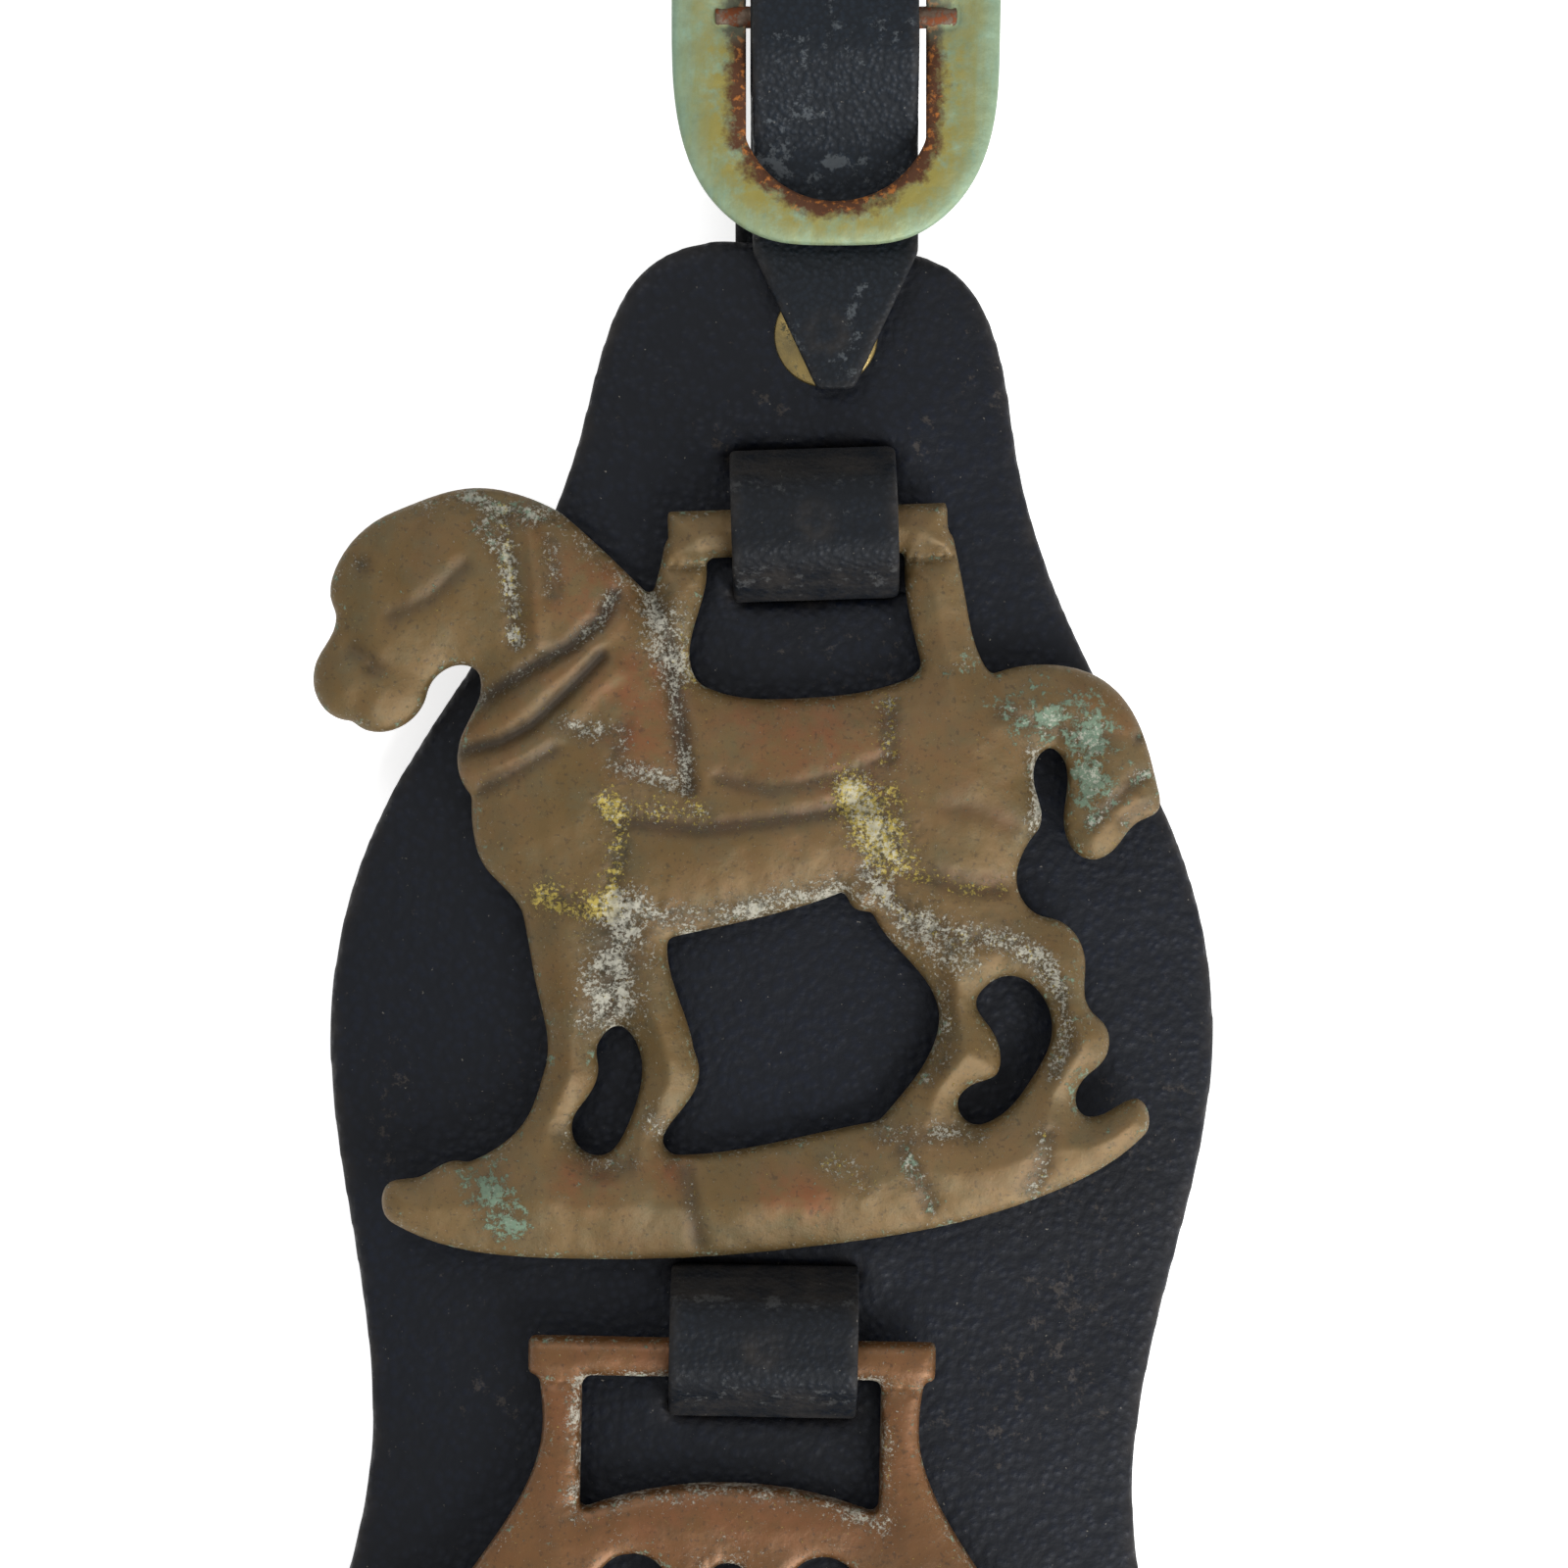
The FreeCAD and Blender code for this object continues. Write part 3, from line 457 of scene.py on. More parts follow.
def verdigris_metal():
    """Buckle brass under pale green verdigris, rusty beside the window."""
    material, tree, place = new_material("verdigris_brass")
    wear = add(tree, "ShaderNodeSeparateColor", None, Color=attribute(tree, "wear").outputs["Color"])
    inner, rim, yellow_zone = wear.outputs[0], wear.outputs[1], wear.outputs[2]
    tone = spread(tree, speckle(tree, place, 220, 5.0, 0.65), 0.3, 0.7)
    base = mix_colour(tree, tone, colour("5f7a66"), colour("8ba48c"))
    mottled = spread(tree, speckle(tree, place, 1100, 5.0, 0.75), 0.45, 0.65)
    base = mix_colour(tree, maths(tree, "MULTIPLY", mottled, 0.5), base, colour("5f7258"))
    stretched = add(tree, "ShaderNodeMapping", None, Vector=place, Scale=(3.0, 0.35, 1.0)).outputs[0]
    streak = spread(tree, speckle(tree, stretched, 420, 5.0, 0.6), 0.4, 0.7)
    base = mix_colour(tree, maths(tree, "MULTIPLY", streak, 0.6), base, colour("7c7f45"))
    stained = spread(tree, speckle(tree, place, 500, 5.0, 0.7), 0.3, 0.55)
    yellow = maths(tree, "MULTIPLY", yellow_zone, stained)
    base = mix_colour(tree, maths(tree, "MULTIPLY", yellow, 0.95), base, colour("857a33"))
    blotch = maths(tree, "ADD", speckle(tree, place, 260, 4.0, 0.6), speckle(tree, place, 900, 6.0, 0.7))
    bled = maths(tree, "MULTIPLY", inner, 0.45)
    rust_amount = maths(tree, "ADD", bled, maths(tree, "MULTIPLY", blotch, 0.5))
    rust = spread(tree, rust_amount, 0.7, 0.87)
    base = mix_colour(tree, rust, base, colour("4d2c15"))
    fresh = maths(tree, "ADD", maths(tree, "MULTIPLY", inner, 0.35), speckle(tree, place, 1500, 4.0))
    orange = spread(tree, fresh, 0.86, 0.98)
    base = mix_colour(tree, orange, base, colour("a8672c"))
    base = mix_colour(tree, maths(tree, "MULTIPLY", rim, 0.3), base, colour("8fae98"))
    height = maths(tree, "ADD", maths(tree, "MULTIPLY", rust, 0.7), speckle(tree, place, 1500, 5.0, 0.7))
    finish_material(tree, add(
        tree, "ShaderNodeBsdfPrincipled", None, Base_Color=base,
        Metallic=spread(tree, streak, 0, 1, 0.15, 0.35),
        Roughness=spread(tree, rust, 0, 1, 0.55, 0.85), Normal=bump(tree, height, 0.4, 0.0002)))
    return material


buckle_metal = verdigris_metal()
print("fittings ready")

# %% [markdown]
# The castings and leathers have soft, irregular surfaces that a CAD solid
# doesn't have. Each could be modelled again from a few polygons, but its
# outline would then drift from the joints. So a CAD node is copied, merged
# and remeshed to even small faces, which can be pushed in and out like clay.

# %% Copies that can be shaped
def even_copy(node, name, voxel, passes=2):
    """A fine, even copy of a CAD node; the passes soften its sharp edges."""
    builder = bmesh.new()
    builder.from_mesh(frame["nodes"][node].data)
    bmesh.ops.remove_doubles(builder, verts=builder.verts, dist=1e-6)
    merged = bpy.data.meshes.new(name + "_merged")
    builder.to_mesh(merged)
    builder.free()
    piece = bpy.data.objects.new(name, merged)
    scene.collection.objects.link(piece)
    even = piece.modifiers.new("even", "REMESH")
    even.mode = "VOXEL"
    even.voxel_size = voxel
    bpy.context.view_layer.update()
    graph = bpy.context.evaluated_depsgraph_get()
    mesh = bpy.data.meshes.new_from_object(piece.evaluated_get(graph))
    piece.modifiers.clear()
    builder = bmesh.new()
    builder.from_mesh(mesh)
    for _ in range(passes):
        bmesh.ops.smooth_vert(builder, verts=builder.verts, factor=0.5,
                              use_axis_x=True, use_axis_y=True, use_axis_z=True)
    builder.to_mesh(mesh)
    builder.free()
    piece.data = mesh
    mesh.name = name
    mesh.materials.clear()
    mesh.shade_smooth()
    return piece


def points_of(mesh, what="co"):
    """Vertex positions, or normals, as rows of three numbers."""
    values = np.empty(len(mesh.vertices) * 3)
    if what == "co":
        mesh.vertices.foreach_get("co", values)
    else:
        mesh.vertex_normals.foreach_get("vector", values)
    return values.reshape(-1, 3)


def put_points(mesh, points):
    mesh.vertices.foreach_set("co", points.ravel())
    mesh.update()


def flat_places(points, place):
    """x and y in millimetres in a group's own leaning frame."""
    origin, lean = place
    dx = (points[:, 0] - origin.x) / mm
    dy = (points[:, 1] - origin.y) / mm
    return np.column_stack((dx * math.cos(lean) + dy * math.sin(lean),
                            dy * math.cos(lean) - dx * math.sin(lean)))


def line_distance(spots, line):
    """Distance in millimetres from every spot to a line through points."""
    nearest = np.full(len(spots), 1e9)
    for (ax, ay), (bx, by) in zip(line[:-1], line[1:]):
        along = np.array((bx - ax, by - ay))
        t = np.clip(((spots - (ax, ay)) @ along) / max(along @ along, 1e-9), 0, 1)
        nearest = np.minimum(nearest, np.hypot(*(spots - (ax, ay) - t[:, None] * along).T))
    return nearest


def soft_line(spots, line, width):
    """1 on a line, fading out over about its width."""
    if len(line) == 1:
        line = line * 2        # a spot is a line of no length
    return np.exp(-(line_distance(spots, line) / width) ** 2)


def lumps(spots, size, seed):
    """Smooth random bumps between about -1 and 1, size in millimetres."""
    return np.array([noise.noise((x / size, y / size, seed)) for x, y in spots])


def edge_distance(spots, walls, step=3):
    """Distance in millimetres from each spot to the nearest side wall."""
    samples = walls[::step]
    finder = kdtree.KDTree(len(samples))
    for index, (x, y) in enumerate(samples):
        finder.insert((x, y, 0), index)
    finder.balance()
    return np.array([finder.find((x, y, 0))[2] for x, y in spots])


def rounded_fall(distance, radius, drop):
    """How far a surface falls near an edge, as a quarter round."""
    inward = 1 - np.clip(distance / radius, 0, 1)
    return drop * (1 - np.sqrt(1 - inward ** 2))


def paint(mesh, name, *values):
    """Stores four values from 0 to 1 for each vertex, which a material reads."""
    layer = mesh.attributes.new(name, "FLOAT_COLOR", "POINT")
    every = np.ones(len(mesh.vertices))
    columns = [np.clip(value, 0, 1) * every for value in values]
    layer.data.foreach_set("color", np.column_stack(columns).ravel())


def settle(piece, material, body, slot_name, *nodes):
    """Gives a finished piece its material, its body and the nodes it stands for."""
    piece.data.materials.append(material)
    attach(piece, body)
    if nodes:
        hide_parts(*nodes)
    print(piece.name, len(piece.data.polygons), "faces on", body)


# %% [markdown]
# The horse is a flat casting with low relief. Its body swells from a thin
# rounded edge. The collar rolls, bridle, saddle cloth and belly band are
# shallow ridges and creases, with crust packed beside them, and the deeper
# creases are painted dark as shade. A list gives each stroke its height, its
# width and the crust it holds, and one loop cuts them.

# %% Horse casting
# Each stroke: height mm, width mm, white, yellow, green, red, then its line.
horse_strokes = [
    # head, mouth, cheek and bridle
    (-0.35, 0.8, 0, 0, 0, 0, [(-45, -10), (-42.5, -12)]),
    (-0.45, 0.7, 0.2, 0, 0, 0, [(-43.3, -12)]),
    (-0.4, 0.9, 0.5, 0.1, 0, 0, [(-44, -2)]),
    (0.35, 2.2, 0, 0, 0, 0, [(-47, -13), (-44, -16)]),
    (0.4, 2.8, 0, 0, 0, 0.2, [(-38, -3), (-36, -1)]),
    (-0.4, 0.9, 0.1, 0.1, 0.1, 0, [(-34, -2.5), (-37.5, -5.5), (-41, -7)]),
    (-0.2, 1.4, 0.5, 0.1, 0.2, 0, [(-38, 4), (-34, 4.5)]),
    (-0.3, 0.9, 0.85, 0.1, 0.7, 0, [(-33, 4.5), (-31, 3), (-28, 2.2), (-25, 2.3)]),
    (-0.25, 0.9, 0.7, 0.2, 0.5, 0, [(-32, 1.5), (-30, -2)]),
    (-0.45, 0.8, 0.75, 0.5, 0.1, 0, [(-30, 3), (-29.6, -3), (-29.3, -10)]),
    (0.55, 0.9, 0, 0, 0, 0.3, [(-27.4, 2.5), (-27, -4), (-27.2, -10)]),
    (-0.3, 0.8, 0.6, 0.2, 0, 0, [(-25.6, 0), (-25.4, -5.5)]),
    (0.25, 2.8, 0, 0, 0, 0.9, [(-22, -5)]),
    (-0.2, 1.3, 0.55, 0.1, 0.1, 0, [(-24, 2), (-20, -2.5), (-16, -6)]),
    # collar rolls
    (-0.75, 0.8, 0.5, 0.15, 0, 0, [(-19.5, -5.5), (-21, -8), (-24, -10.5), (-28, -12.5), (-33, -15.5)]),
    (0.55, 1.3, 0, 0, 0, 0.25, [(-19, -8), (-22, -10.8), (-25, -13), (-31, -17), (-35, -19)]),
    (-0.7, 0.7, 0.15, 0.1, 0, 0, [(-21, -11.5), (-24, -14.5), (-28, -18), (-31, -19.5), (-35, -20.3)]),
    (0.5, 1.2, 0, 0, 0, 0.2, [(-20, -13), (-23, -16), (-26, -19), (-30, -21.5), (-35, -22.5)]),
    (-0.5, 0.8, 0.25, 0.2, 0, 0, [(-26, -20.5), (-30, -22.6), (-33, -24)]),
    # withers, pad and shoulder
    (-0.7, 0.9, 0.6, 0.05, 0, 0, [(-16, -6), (-14.4, -10), (-14, -15), (-13.5, -20), (-13, -24.5)]),
    (-0.2, 1.9, 0.9, 0.1, 0, 0, [(-15.6, -7), (-14, -13)]),
    (0.3, 3.0, 0, 0, 0, 0.9, [(-17.5, -14), (-17.5, -19)]),
    (-0.3, 0.9, 0.65, 0.25, 0, 0,
     [(-25, -18), (-22, -19), (-19, -18.5), (-20, -22), (-16, -23.5), (-13, -24.5)]),
    (-0.35, 1.1, 0.5, 0.85, 0, 0, [(-21, -25.5), (-19.5, -28), (-20, -31), (-21, -36)]),
    (0.35, 4.0, 0, 0, 0, 0, [(-27, -28)]),
    (-0.55, 0.9, 0.15, 0.15, 0, 0.3, [(-19, -27.5), (-12, -28.5), (-6, -28), (0, -27.3), (3, -26.5)]),
    (-0.25, 1.2, 0.35, 0.5, 0, 0, [(-20.5, -26.2), (-14, -26.8), (-12, -27)]),
    (0.5, 4.5, 0, 0, 0, 0.1, [(-13, -33), (0, -31.5)]),
    # saddle cloth and flank
    (0.25, 4.0, 0, 0, 0, 0.75, [(-5, -19), (2, -21)]),
    (-0.4, 0.8, 0.2, 0.1, 0, 0.2, [(-10, -23.6), (-5, -25), (-1, -24.3), (3, -23.5), (6.5, -22)]),
    (-0.4, 0.9, 0.5, 0.6, 0, 0, [(6.6, -17), (6.4, -20), (6.2, -22.5)]),
    (-0.45, 2.2, 0.7, 1.0, 0, 0, [(3.5, -25.5), (5, -29), (6.2, -31.5)]),
    (-0.3, 1.3, 0.4, 0.9, 0, 0, [(2, -26.5), (6.5, -26.0)]),
    (0.65, 5.0, 0, 0, 0, 0.25, [(14, -23)]),
    (-0.25, 1.1, 0, 0, 0, 0.35, [(12, -27), (15, -27.4), (18, -28.8)]),
    (-0.3, 1.0, 0.1, 0.3, 0.1, 0.2, [(7.5, -33), (11, -33.8), (17, -34.6)]),
    # tail
    (-0.35, 1.3, 0.45, 0.1, 0.75, 0, [(18, -18), (22, -20), (27, -21)]),
    (-0.2, 2.6, 0.45, 0.05, 0.85, 0, [(21, -18.5), (26, -20.5), (25.5, -25)]),
    (-0.25, 0.9, 0.8, 0, 0.2, 0, [(20.6, -22), (20.8, -26), (20.4, -30)]),
    (-0.9, 0.5, 0, 0, 0, 0, [(30.7, -21)]),
    (-0.45, 0.8, 0.5, 0.1, 0.6, 0, [(31, -24.5), (28, -27), (26, -29)]),
    (-0.35, 0.8, 0.4, 0.1, 0.3, 0, [(31.5, -27.5), (29, -29.2)]),
    (0.3, 1.8, 0, 0, 0, 0.3, [(26, -16.8), (29.5, -19.5)]),
    # hanger
    (-0.2, 1.0, 0.3, 0.1, 0.5, 0, [(12.5, -13.5), (15, -13.5)]),
    (-0.1, 0.9, 0.1, 0.5, 0, 0, [(-12.5, -14.5), (-13, -10)]),
    # forelegs
    (-0.35, 1.2, 0.3, 1.0, 0, 0, [(-27, -34.5), (-24, -35.6), (-21, -36)]),
    (0.25, 1.4, 1.0, 0.2, 0, 0, [(-20.3, -35.5), (-18.5, -35.6)]),
    (-0.3, 1.3, 0.8, 0.25, 0, 0, [(-18, -36.5), (-14, -37.5), (-9, -36.8), (-5, -36), (1, -34.6)]),
    (-0.6, 2.4, 1.0, 0.25, 0.1, 0, [(-20, -37.5), (-20.5, -41), (-21.5, -46)]),
    (0.45, 2.0, 0, 0, 0, 0.1, [(-26, -38), (-26, -46), (-25.5, -52)]),
    (0.4, 1.5, 0, 0, 0, 0, [(-16.5, -42), (-15.6, -50)]),
    (-0.35, 1.2, 0.5, 0.2, 0.1, 0, [(-17.5, -56), (-15.5, -60)]),
    (-0.35, 1.2, 0.45, 0.2, 0.1, 0, [(-26, -57.5), (-23, -61), (-20, -60.6)]),
    (-0.25, 0.9, 0.3, 0.1, 0, 0, [(-28.5, -54)]),
    # hind legs
    (-0.45, 1.2, 0.75, 0.4, 0, 0,
     [(4, -33), (6.5, -36.5), (8, -38), (12, -39.5), (17, -40), (20, -42), (22, -45)]),
    (-0.3, 1.0, 0.6, 0.2, 0, 0, [(22.3, -45), (22.8, -50), (21.2, -53)]),
    (-0.2, 2.2, 0.8, 0.3, 0, 0, [(8, -38.5), (12.5, -41)]),
    (-0.35, 0.8, 0.1, 0.5, 0, 0.2, [(9, -33.6), (13, -35), (17, -35.3)]),
    (0.4, 1.5, 0.5, 0.1, 0, 0, [(2.6, -34.6), (4.6, -36.6)]),
    (0.45, 2.0, 0, 0, 0, 0, [(12.5, -43), (13.6, -49), (12, -53)]),
    (0.4, 1.7, 0, 0, 0.35, 0, [(23.5, -43), (24.6, -49), (23, -54)]),
    (-0.25, 1.0, 0.5, 0.2, 0.1, 0, [(10.6, -44), (11.4, -47), (10.6, -51), (9, -53)]),
    (-0.3, 1.1, 0.6, 0.2, 0.3, 0, [(4.5, -58.3), (8, -59), (12, -58), (13.5, -58.6)]),
    (-0.2, 1.2, 0.3, 0.1, 0.8, 0, [(24, -54), (24.2, -56)]),
    # rocker
    (-0.25, 1.8, 0.3, 0.1, 0.9, 0, [(-34, -61.5), (-33, -64), (-32, -66)]),
    (0, 1.5, 0, 0, 0, 0.9, [(-25, -62), (-23, -62.2)]),
    (0, 1.4, 0, 0, 0, 0.9, [(-16, -61.5)]),
    (0, 1.5, 0, 0, 0, 0.9, [(-6, -63.5), (-2, -64.5)]),
    (-0.45, 0.9, 0.2, 0.1, 0.1, 0, [(-14.5, -61.5), (-14, -65), (-13.4, -68.5)]),
    (-0.4, 0.9, 0.55, 0.1, 0.6, 0, [(6.5, -60), (8, -63), (9, -65.5)]),
    (-0.4, 1.1, 0.55, 0.3, 0.3, 0, [(20.5, -59), (20, -62), (18.6, -64.5)]),
    (0.3, 1.6, 0, 0, 0.2, 0, [(26, -60), (29, -58.5)]),
    (-0.15, 1.3, 0.5, 0.4, 0.2, 0, [(0, -61), (2.5, -63)]),
    (0.3, 2.2, 0, 0, 0.1, 0, [(-28, -63.5), (-20, -64.5)]),
    (0.3, 2.2, 0, 0, 0.1, 0, [(-8, -65.5), (2, -65)]),
]


def shape_casting(piece, place, strokes, round_radius, drop, swell, roughness, seed):
    """Rounds a plate casting's front edge, works its relief and crust, and paints shade into its deeper
    grooves.
    """
    mesh = piece.data
    points = points_of(mesh)
    facing = points_of(mesh, "normal")
    spots = flat_places(points, place)
    back = points[:, 2].min()
    front = np.median(points[facing[:, 2] > 0.9][:, 2])
    walls = spots[np.abs(facing[:, 2]) < 0.4]
    distance = edge_distance(spots, walls)
    lift = np.clip((points[:, 2] - back) / (front - back), 0, 1)
    height = swell * (1 - np.exp(-(distance / 5.0) ** 2)) - rounded_fall(distance, round_radius, drop)
    height += roughness * lumps(spots, 6.5, seed) + 0.45 * roughness * lumps(spots, 2.2, seed + 7)
    height += 0.16 * roughness * lumps(spots, 0.9, seed + 13)
    marks = [np.zeros(len(points)) for _ in range(4)]
    groove_shade = np.zeros(len(points))
    for tall, width, white, yellow, green, red, line in strokes:
        near = soft_line(spots, line, width)
        height += tall * near
        for mark, amount in zip(marks, (white, yellow, green, red)):
            if amount:
                heavy = amount >= 0.5  # heavy crust spreads past its crease
                cover = soft_line(spots, line, width * 1.35) if heavy else near
                np.maximum(mark, amount * cover, out=mark)
        # painted shade: the deeper grooves are stored to be darkened
        if tall < -0.2:
            np.maximum(groove_shade, near * min(1, -tall * 1.4), out=groove_shade)
    crumbs = lumps(spots, 0.55, seed + 21)
    crust = np.maximum(marks[0], marks[1])
    height += np.where(crumbs > 0.05, crust * crumbs * 0.75, 0)
    shaped = points.copy()
    shaped[:, 2] += lift * height * mm
    put_points(mesh, shaped)
    rim = np.exp(-(distance / 1.1) ** 2) * lift
    paint(mesh, "marks", *marks)
    # wear keeps the painted groove shade first, then the rim
    paint(mesh, "wear", groove_shade, rim, 0, 0)


horse = even_copy("horse_brass", "horse_casting", 0.36 * mm)
shape_casting(horse, horse_place, horse_strokes, 4.6, 1.7, 1.0, 0.28, 3.0)
settle(horse, horse_brass_metal, "horse", "horse_casting", "horse_brass")

# %% [markdown]
# The disc is a sun wheel of smoother, warmer brass. Its pierced windows and
# round hanger have soft edges, and pale polish has dried in its corners.

# %% Disc casting
disc_strokes = [
    (-0.1, 0.9, 0.75, 0.1, 0, 0, [(-14.2, -2.4), (-13.2, -2.2), (0, -2.2), (14, -2.2)]),
    (-0.1, 0.9, 0.7, 0.1, 0, 0, [(-14.9, -2.2), (-14.9, -9), (-15, -15)]),
    (-0.1, 0.9, 0.5, 0.2, 0, 0, [(14.9, -2.2), (15, -15.5)]),
    (-0.2, 1.1, 0.6, 0.1, 0, 0, [(-14.8, -15), (-8, -12.9), (0, -12.4), (8, -13), (15, -15.6)]),
    (0.3, 1.6, 0, 0, 0, 0.7, [(-13, 1), (-6, 0.6)]),
    (0.25, 2.6, 0, 0, 0, 0.5, [(-10, -16), (0, -14.6), (10, -16)]),
    (0, 3.0, 0, 0, 0, 0.5, [(17.4, -4), (17.6, -10)]),
    (0, 3.0, 0, 0, 0, 0.5, [(-17, -4), (-17.4, -10)]),
]
disc_centre_y = -51.2
window_count = 10
pinhole_ring_r = 29.2
window_end_r = (18.0, 34.6)


def on_disc(radius, degrees):
    """A point of the disc, counted clockwise from its top."""
    turn = math.radians(degrees)
    return (radius * math.sin(turn), disc_centre_y + radius * math.cos(turn))


for index in range(window_count):
    angle = index * 360 / window_count
    middle = angle + 180 / window_count
    disc_strokes.append((-0.1, 2.9, 0.8, 0.1, 0, 0, [on_disc(pinhole_ring_r, angle)]))
    disc_strokes.append((-0.05, 1.3, 0.35, 0.1, 0, 0, [on_disc(window_end_r[0], middle)]))
    disc_strokes.append((-0.05, 1.6, 0.3, 0.1, 0, 0, [on_disc(window_end_r[1], middle)]))

disc = even_copy("disc_brass", "disc_casting", 0.4 * mm)
shape_casting(disc, disc_place, disc_strokes, 1.5, 0.8, 0.35, 0.12, 11.0)
settle(disc, disc_brass_metal, "disc", "disc_casting", "disc_brass")

# %% [markdown]
# The panel is one thick piece of black leather. It is pulled up in lips round
# the slits and dented under the brasses, and its edge is lightened as burnished
# wear and a painted highlight. Scuffs are painted as soft strokes, which the
# material breaks up.

# %% Leather panel
def shape_leather(piece, place, bulges, scuffs, unevenness, edge_width, seed, round_drop=0.0):
    """Uneven leather with bulges on its front, scuffs, and an edge band that the material lightens as
    burnished wear and a painted highlight.
    """
    mesh = piece.data
    points = points_of(mesh)
    facing = points_of(mesh, "normal")
    spots = flat_places(points, place)
    height = unevenness * lumps(spots, 14.0, seed) + 0.35 * unevenness * lumps(spots, 4.0, seed + 5)
    for tall, width, line in bulges:
        height += tall * soft_line(spots, line, width)
    wall = spots[np.abs(facing[:, 2]) < 0.35]
    distance = edge_distance(spots, wall)
    front = np.clip(facing[:, 2], 0, 1)
    height -= rounded_fall(distance, 1.0, round_drop)
    shaped = points.copy()
    shaped[:, 2] += height * front * mm
    put_points(mesh, shaped)
    scuffed = np.zeros(len(points))
    for amount, width, line in scuffs:
        np.maximum(scuffed, amount * soft_line(spots, line, width), out=scuffed)
    # the second channel is the edge band, lightened as burnished wear and a painted highlight
    paint(mesh, "marks", scuffed, np.exp(-(distance / edge_width) ** 2), 0, 0)


slit_middles = (6.6, -6.6)     # above and below a tab's middle
slit_half_height = 1.0
upper_slit_half = 8.45
lower_slit_half = 9.5


def slit_lips(place, half_width):
    """Lips round a tab's two slits, in the panel's own frame."""
    origin, lean = place
    lips = []
    for up in slit_middles:
        ends = []
        for side in (-half_width, half_width):
            x = origin.x / mm + side * math.cos(lean) - up * math.sin(lean)
            y = origin.y / mm + side * math.sin(lean) + up * math.cos(lean)
            ends.append((x, y))
        lips.append(ends)
    return lips


# Each bulge or dent: height mm, width mm, line. Each scuff: amount, width mm, line.
panel_bulges = [
    (-0.35, 9.0, [(-6, -150), (4, -150)]),
    (0.25, 8.0, [(0, -120)]),
    (-0.25, 3.0, [(-14, -30), (-9, -33)]),
]
for ends in slit_lips(upper_tab_place, 9.2) + slit_lips(lower_tab_place, 10.2):
    panel_bulges.append((0.35, 2.2, [(ends[0][0], ends[0][1] + 1.6), (ends[1][0], ends[1][1] + 1.6)]))
    panel_bulges.append((0.2, 1.6, [ends[0]]))
    panel_bulges.append((0.2, 1.6, [ends[1]]))
panel_scuffs = [
    (0.55, 2.0, [(-9.5, -9.5), (-8.5, -12)]),
    (0.5, 2.0, [(9, -8.5), (10.2, -11)]),
    (0.6, 1.2, [(-7, -5), (-4, -7)]),
    (0.42, 6.0, [(28, -92), (24, -100), (21, -106)]),
    (0.5, 2.2, [(25, -97), (28, -100), (31, -103)]),
    (0.45, 2.6, [(-28, -104), (-26, -107)]),
    (0.4, 2.4, [(-38.5, -84), (-39.5, -72)]),
    (0.35, 5.0, [(0, -30), (9, -34)]),
    (0.32, 6.0, [(36, -70), (31, -82)]),
    (0.3, 5.0, [(-22, -66), (-26, -74)]),
    (0.35, 4.0, [(16, 2), (18, -6)]),
    (0.4, 8.0, [(14, -186), (-8, -190)]),
]


def close_slits(piece, place, half_width):
    """Draws the leather in against a tab where it passes through a slit."""
    points = points_of(piece.data)
    spots = flat_places(points, place)
    turn = np.array(((math.cos(place[1]), math.sin(place[1])), (-math.sin(place[1]), math.cos(place[1]))))
    for middle in slit_middles:
        off = spots - (0, middle)
        beyond = np.maximum(np.abs(off) - (half_width, slit_half_height), 0)
        near = np.exp(-(np.hypot(*beyond.T) / 0.8) ** 2)
        inward = -np.sign(off) * near[:, None] * (0.55, 0.45)
        inward[:, 0] *= np.abs(off[:, 0]) > half_width - 0.8
        inward[:, 1] *= np.abs(off[:, 0]) < half_width + 1.0
        points[:, :2] += inward @ turn * mm
    put_points(piece.data, points)


panel = even_copy("backing_panel", "leather_panel", 0.72 * mm, 3)
close_slits(panel, upper_tab_place, upper_slit_half)
close_slits(panel, lower_tab_place, lower_slit_half)
shape_leather(panel, panel_place, panel_bulges, panel_scuffs, 0.22, 0.9, 31.0, 0.35)
settle(panel, panel_leather, "panel", "panel_leather", "backing_panel")

# %% [markdown]
# The tabs and straps are thin black leather with burnished edges, lightened as
# wear and a painted highlight. Bends and buckle pressure leave dull, stretched
# places, so they are scuffed there.

# %% Tabs and straps
upper_tab = even_copy("upper_hanger_tab", "upper_tab_strip", 0.36 * mm)
shape_leather(upper_tab, upper_tab_place, [(-0.12, 2.5, [(-8, 0), (8, 0)])],
              [(0.5, 1.0, [(-8, 3.6), (8, 3.6)]), (0.45, 1.4, [(-7, -5.2), (7, -5.4)]), (0.4, 1.5, [(3, 0)])],
              0.08, 0.8, 41.0)
settle(upper_tab, tab_leather, "panel", "panel_leather", "upper_hanger_tab")
lower_tab = even_copy("lower_hanger_tab", "lower_tab_strip", 0.36 * mm)
shape_leather(lower_tab, lower_tab_place, [(-0.12, 2.5, [(-9, 0), (9, 0)])],
              [(0.5, 1.0, [(-9, 4.2), (9, 4.2)]), (0.45, 1.6, [(-8, -4.6), (8, -4.8)])],
              0.08, 0.8, 43.0)
settle(lower_tab, tab_leather, "panel", "panel_leather", "lower_hanger_tab")

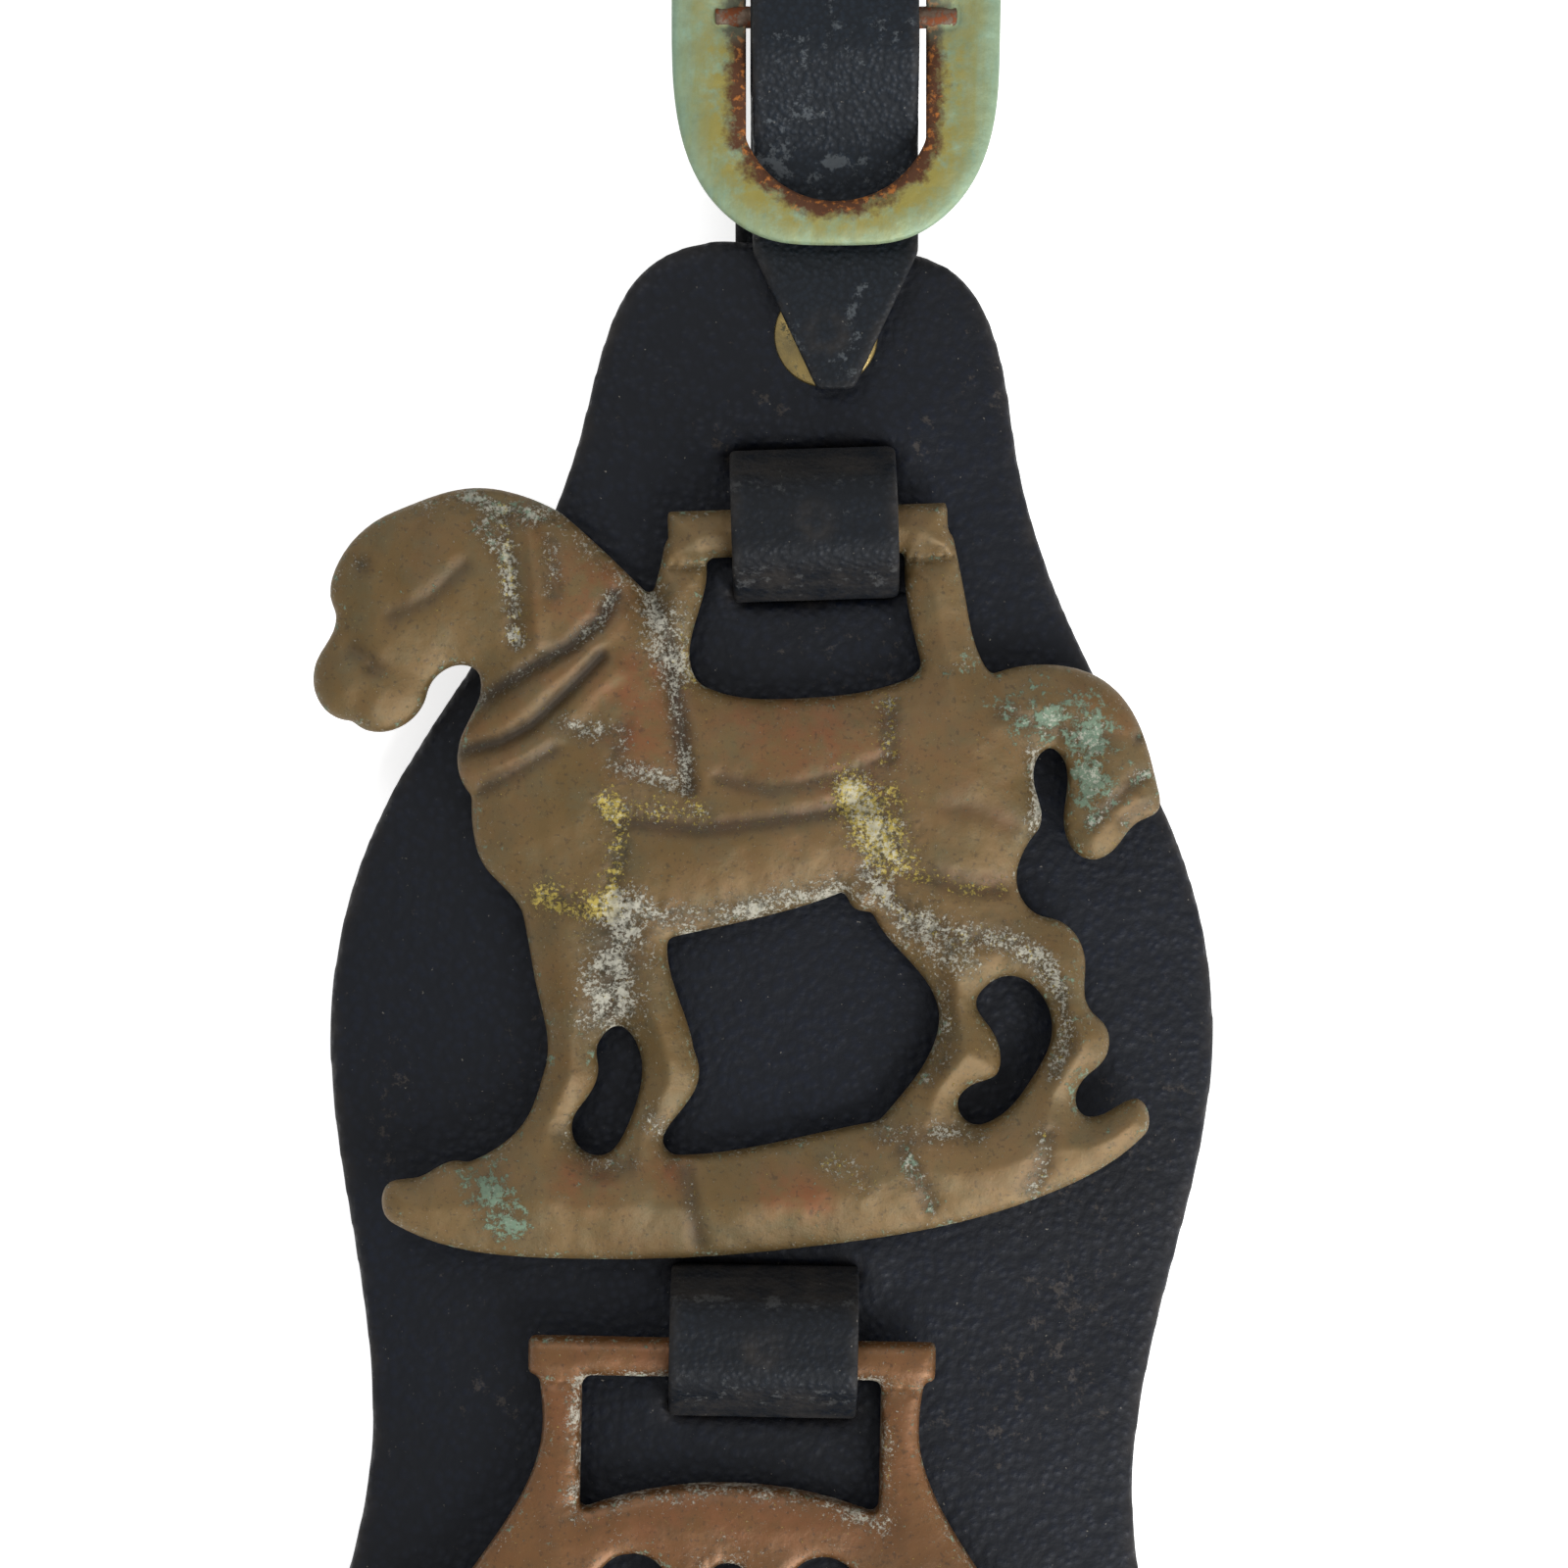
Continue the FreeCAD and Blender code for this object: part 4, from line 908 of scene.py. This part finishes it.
strap_scuffs = [
    (0.75, 2.6, [(-5, 16.5), (-3, 20.5)]),
    (0.7, 1.6, [(-3, 16), (3, 16.4)]),
    (0.6, 1.4, [(5, 15.6), (8, 15.8)]),
    (0.35, 5.0, [(-4, 24), (4, 30)]),
    (0.55, 1.1, [(3.4, 4.5), (1.6, -4.4)]),
    (0.45, 0.9, [(-4, 1.5), (-1.2, -4.4)]),
    (0.4, 6.0, [(0, 60), (2, 78)]),
]
strap = even_copy("hanging_strap", "hanging_strap_leather", 0.4 * mm)
shape_leather(strap, strap_place, [(-0.15, 1.2, [(-8, 13.8), (9.5, 13.8)])], strap_scuffs, 0.06, 0.7, 51.0)
settle(strap, strap_leather, "hanger", "strap_leather", "hanging_strap")
fold = even_copy("buckle_tab", "buckle_tab_leather", 0.4 * mm)
shape_leather(fold, strap_place, [], [(0.3, 3.0, [(-8, 10), (-7, 12)])], 0.04, 0.7, 57.0)
settle(fold, strap_leather, "hanger", "strap_leather", "buckle_tab")

# %% [markdown]
# The buckle is a cast brass loop with a soft, rounded section. Verdigris has
# covered it, and its steel bar and tongue have bled rust round the window.

# %% Buckle
buckle_centre = (0.95, 30.5)
window_half = (8.7, 17.8)


def shape_buckle(piece):
    """Rounds the loop's section and marks its window side and outer side."""
    mesh = piece.data
    points = points_of(mesh)
    facing = points_of(mesh, "normal")
    spots = flat_places(points, strap_place)
    off = np.abs(spots - buckle_centre)
    is_wall = np.abs(facing[:, 2]) < 0.4
    near_window = (off[:, 0] < window_half[0] + 0.6) & (off[:, 1] < window_half[1] + 0.6)
    inner = edge_distance(spots, spots[is_wall & near_window], 1)
    outer = edge_distance(spots, spots[is_wall & ~near_window], 1)
    low, high = points[:, 2].min(), points[:, 2].max()
    lift = (points[:, 2] - low) / (high - low) * 2 - 1
    fall = rounded_fall(outer, 3.6, 0.75) + rounded_fall(inner, 2.0, 0.4)
    pitted = 0.09 * lumps(spots, 2.4, 61.0) + 0.05 * lumps(spots, 0.8, 67.0) - 0.05
    shaped = points.copy()
    shaped[:, 2] += lift * (pitted - fall) * mm
    put_points(mesh, shaped)
    stain = np.exp(-(inner / 2.3) ** 2)
    rim_edge = np.exp(-(outer / 1.3) ** 2)
    yellow_zone = np.exp(-((inner - 2.2) / 3.0) ** 2)
    paint(mesh, "wear", stain, rim_edge, yellow_zone, 0)


rim = even_copy("buckle_frame", "buckle_loop", 0.26 * mm)
shape_buckle(rim)
settle(rim, buckle_metal, "hanger", "buckle_brass", "buckle_frame")


def pitted_steel(node, name, body, seed):
    """A corroded steel fitting, pitted along its normals."""
    piece = even_copy(node, name, 0.18 * mm, 1)
    points = points_of(piece.data)
    facing = points_of(piece.data, "normal")
    depth = 0.05 * (np.array([noise.noise(Vector(p) * 900 + Vector((seed, 0, 0))) for p in points]) - 0.4)
    put_points(piece.data, points + facing * depth[:, None] * mm)
    settle(piece, rusty_steel, body, "bar_steel", node)


pitted_steel("buckle_bar", "buckle_bar_steel", "hanger", 0.0)
pitted_steel("buckle_tongue", "buckle_tongue_steel", "tongue", 5.0)

# %% [markdown]
# The top rivet's domed head shows beside the strap's point. It is turned on a
# lathe, so its half section is spun round the rivet's axis. The burr behind
# and the two tab rivets keep their CAD shapes, which are right already.

# %% Rivets
head_low, head_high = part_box("top_rivet")
head_radius = (head_high[0] - head_low[0]) / 2
head_thickness = 0.8 * mm
post_radius = 1.6 * mm


def spun_rivet(name, section):
    """Spins a half section, from the top of the axis to its foot."""
    builder = bmesh.new()
    verts = [builder.verts.new((x, 0, z)) for x, z in section]
    edges = [builder.edges.new(pair) for pair in zip(verts[:-1], verts[1:])]
    bmesh.ops.spin(builder, geom=verts + edges, cent=(0, 0, 0), axis=(0, 0, 1),
                   angle=2 * math.pi, steps=64, use_merge=True)
    bmesh.ops.remove_doubles(builder, verts=builder.verts, dist=1e-6)
    bmesh.ops.recalc_face_normals(builder, faces=builder.faces)
    mesh = bpy.data.meshes.new(name)
    builder.to_mesh(mesh)
    builder.free()
    mesh.shade_smooth()
    piece = bpy.data.objects.new(name, mesh)
    scene.collection.objects.link(piece)
    return piece


under = head_high[2] - head_thickness
section = [(0, head_high[2])]
for share in (0.3, 0.55, 0.75, 0.9, 0.97):
    section.append((head_radius * share, head_high[2] - head_thickness * 0.75 * share ** 4))
section += [(head_radius, under + 0.12 * mm), (head_radius * 0.985, under), (post_radius, under),
            (post_radius, head_low[2] + 0.15 * mm), (post_radius - 0.15 * mm, head_low[2]), (0, head_low[2])]
rivet = spun_rivet("top_rivet_domed", section)
settle(rivet, rivet_metal, "panel", "rivet_brass", "top_rivet")
for node in ("top_rivet_burr", "upper_tab_rivet", "lower_tab_rivet"):
    for finish in frame["nodes"][node].material_slots:
        finish.material = rivet_metal
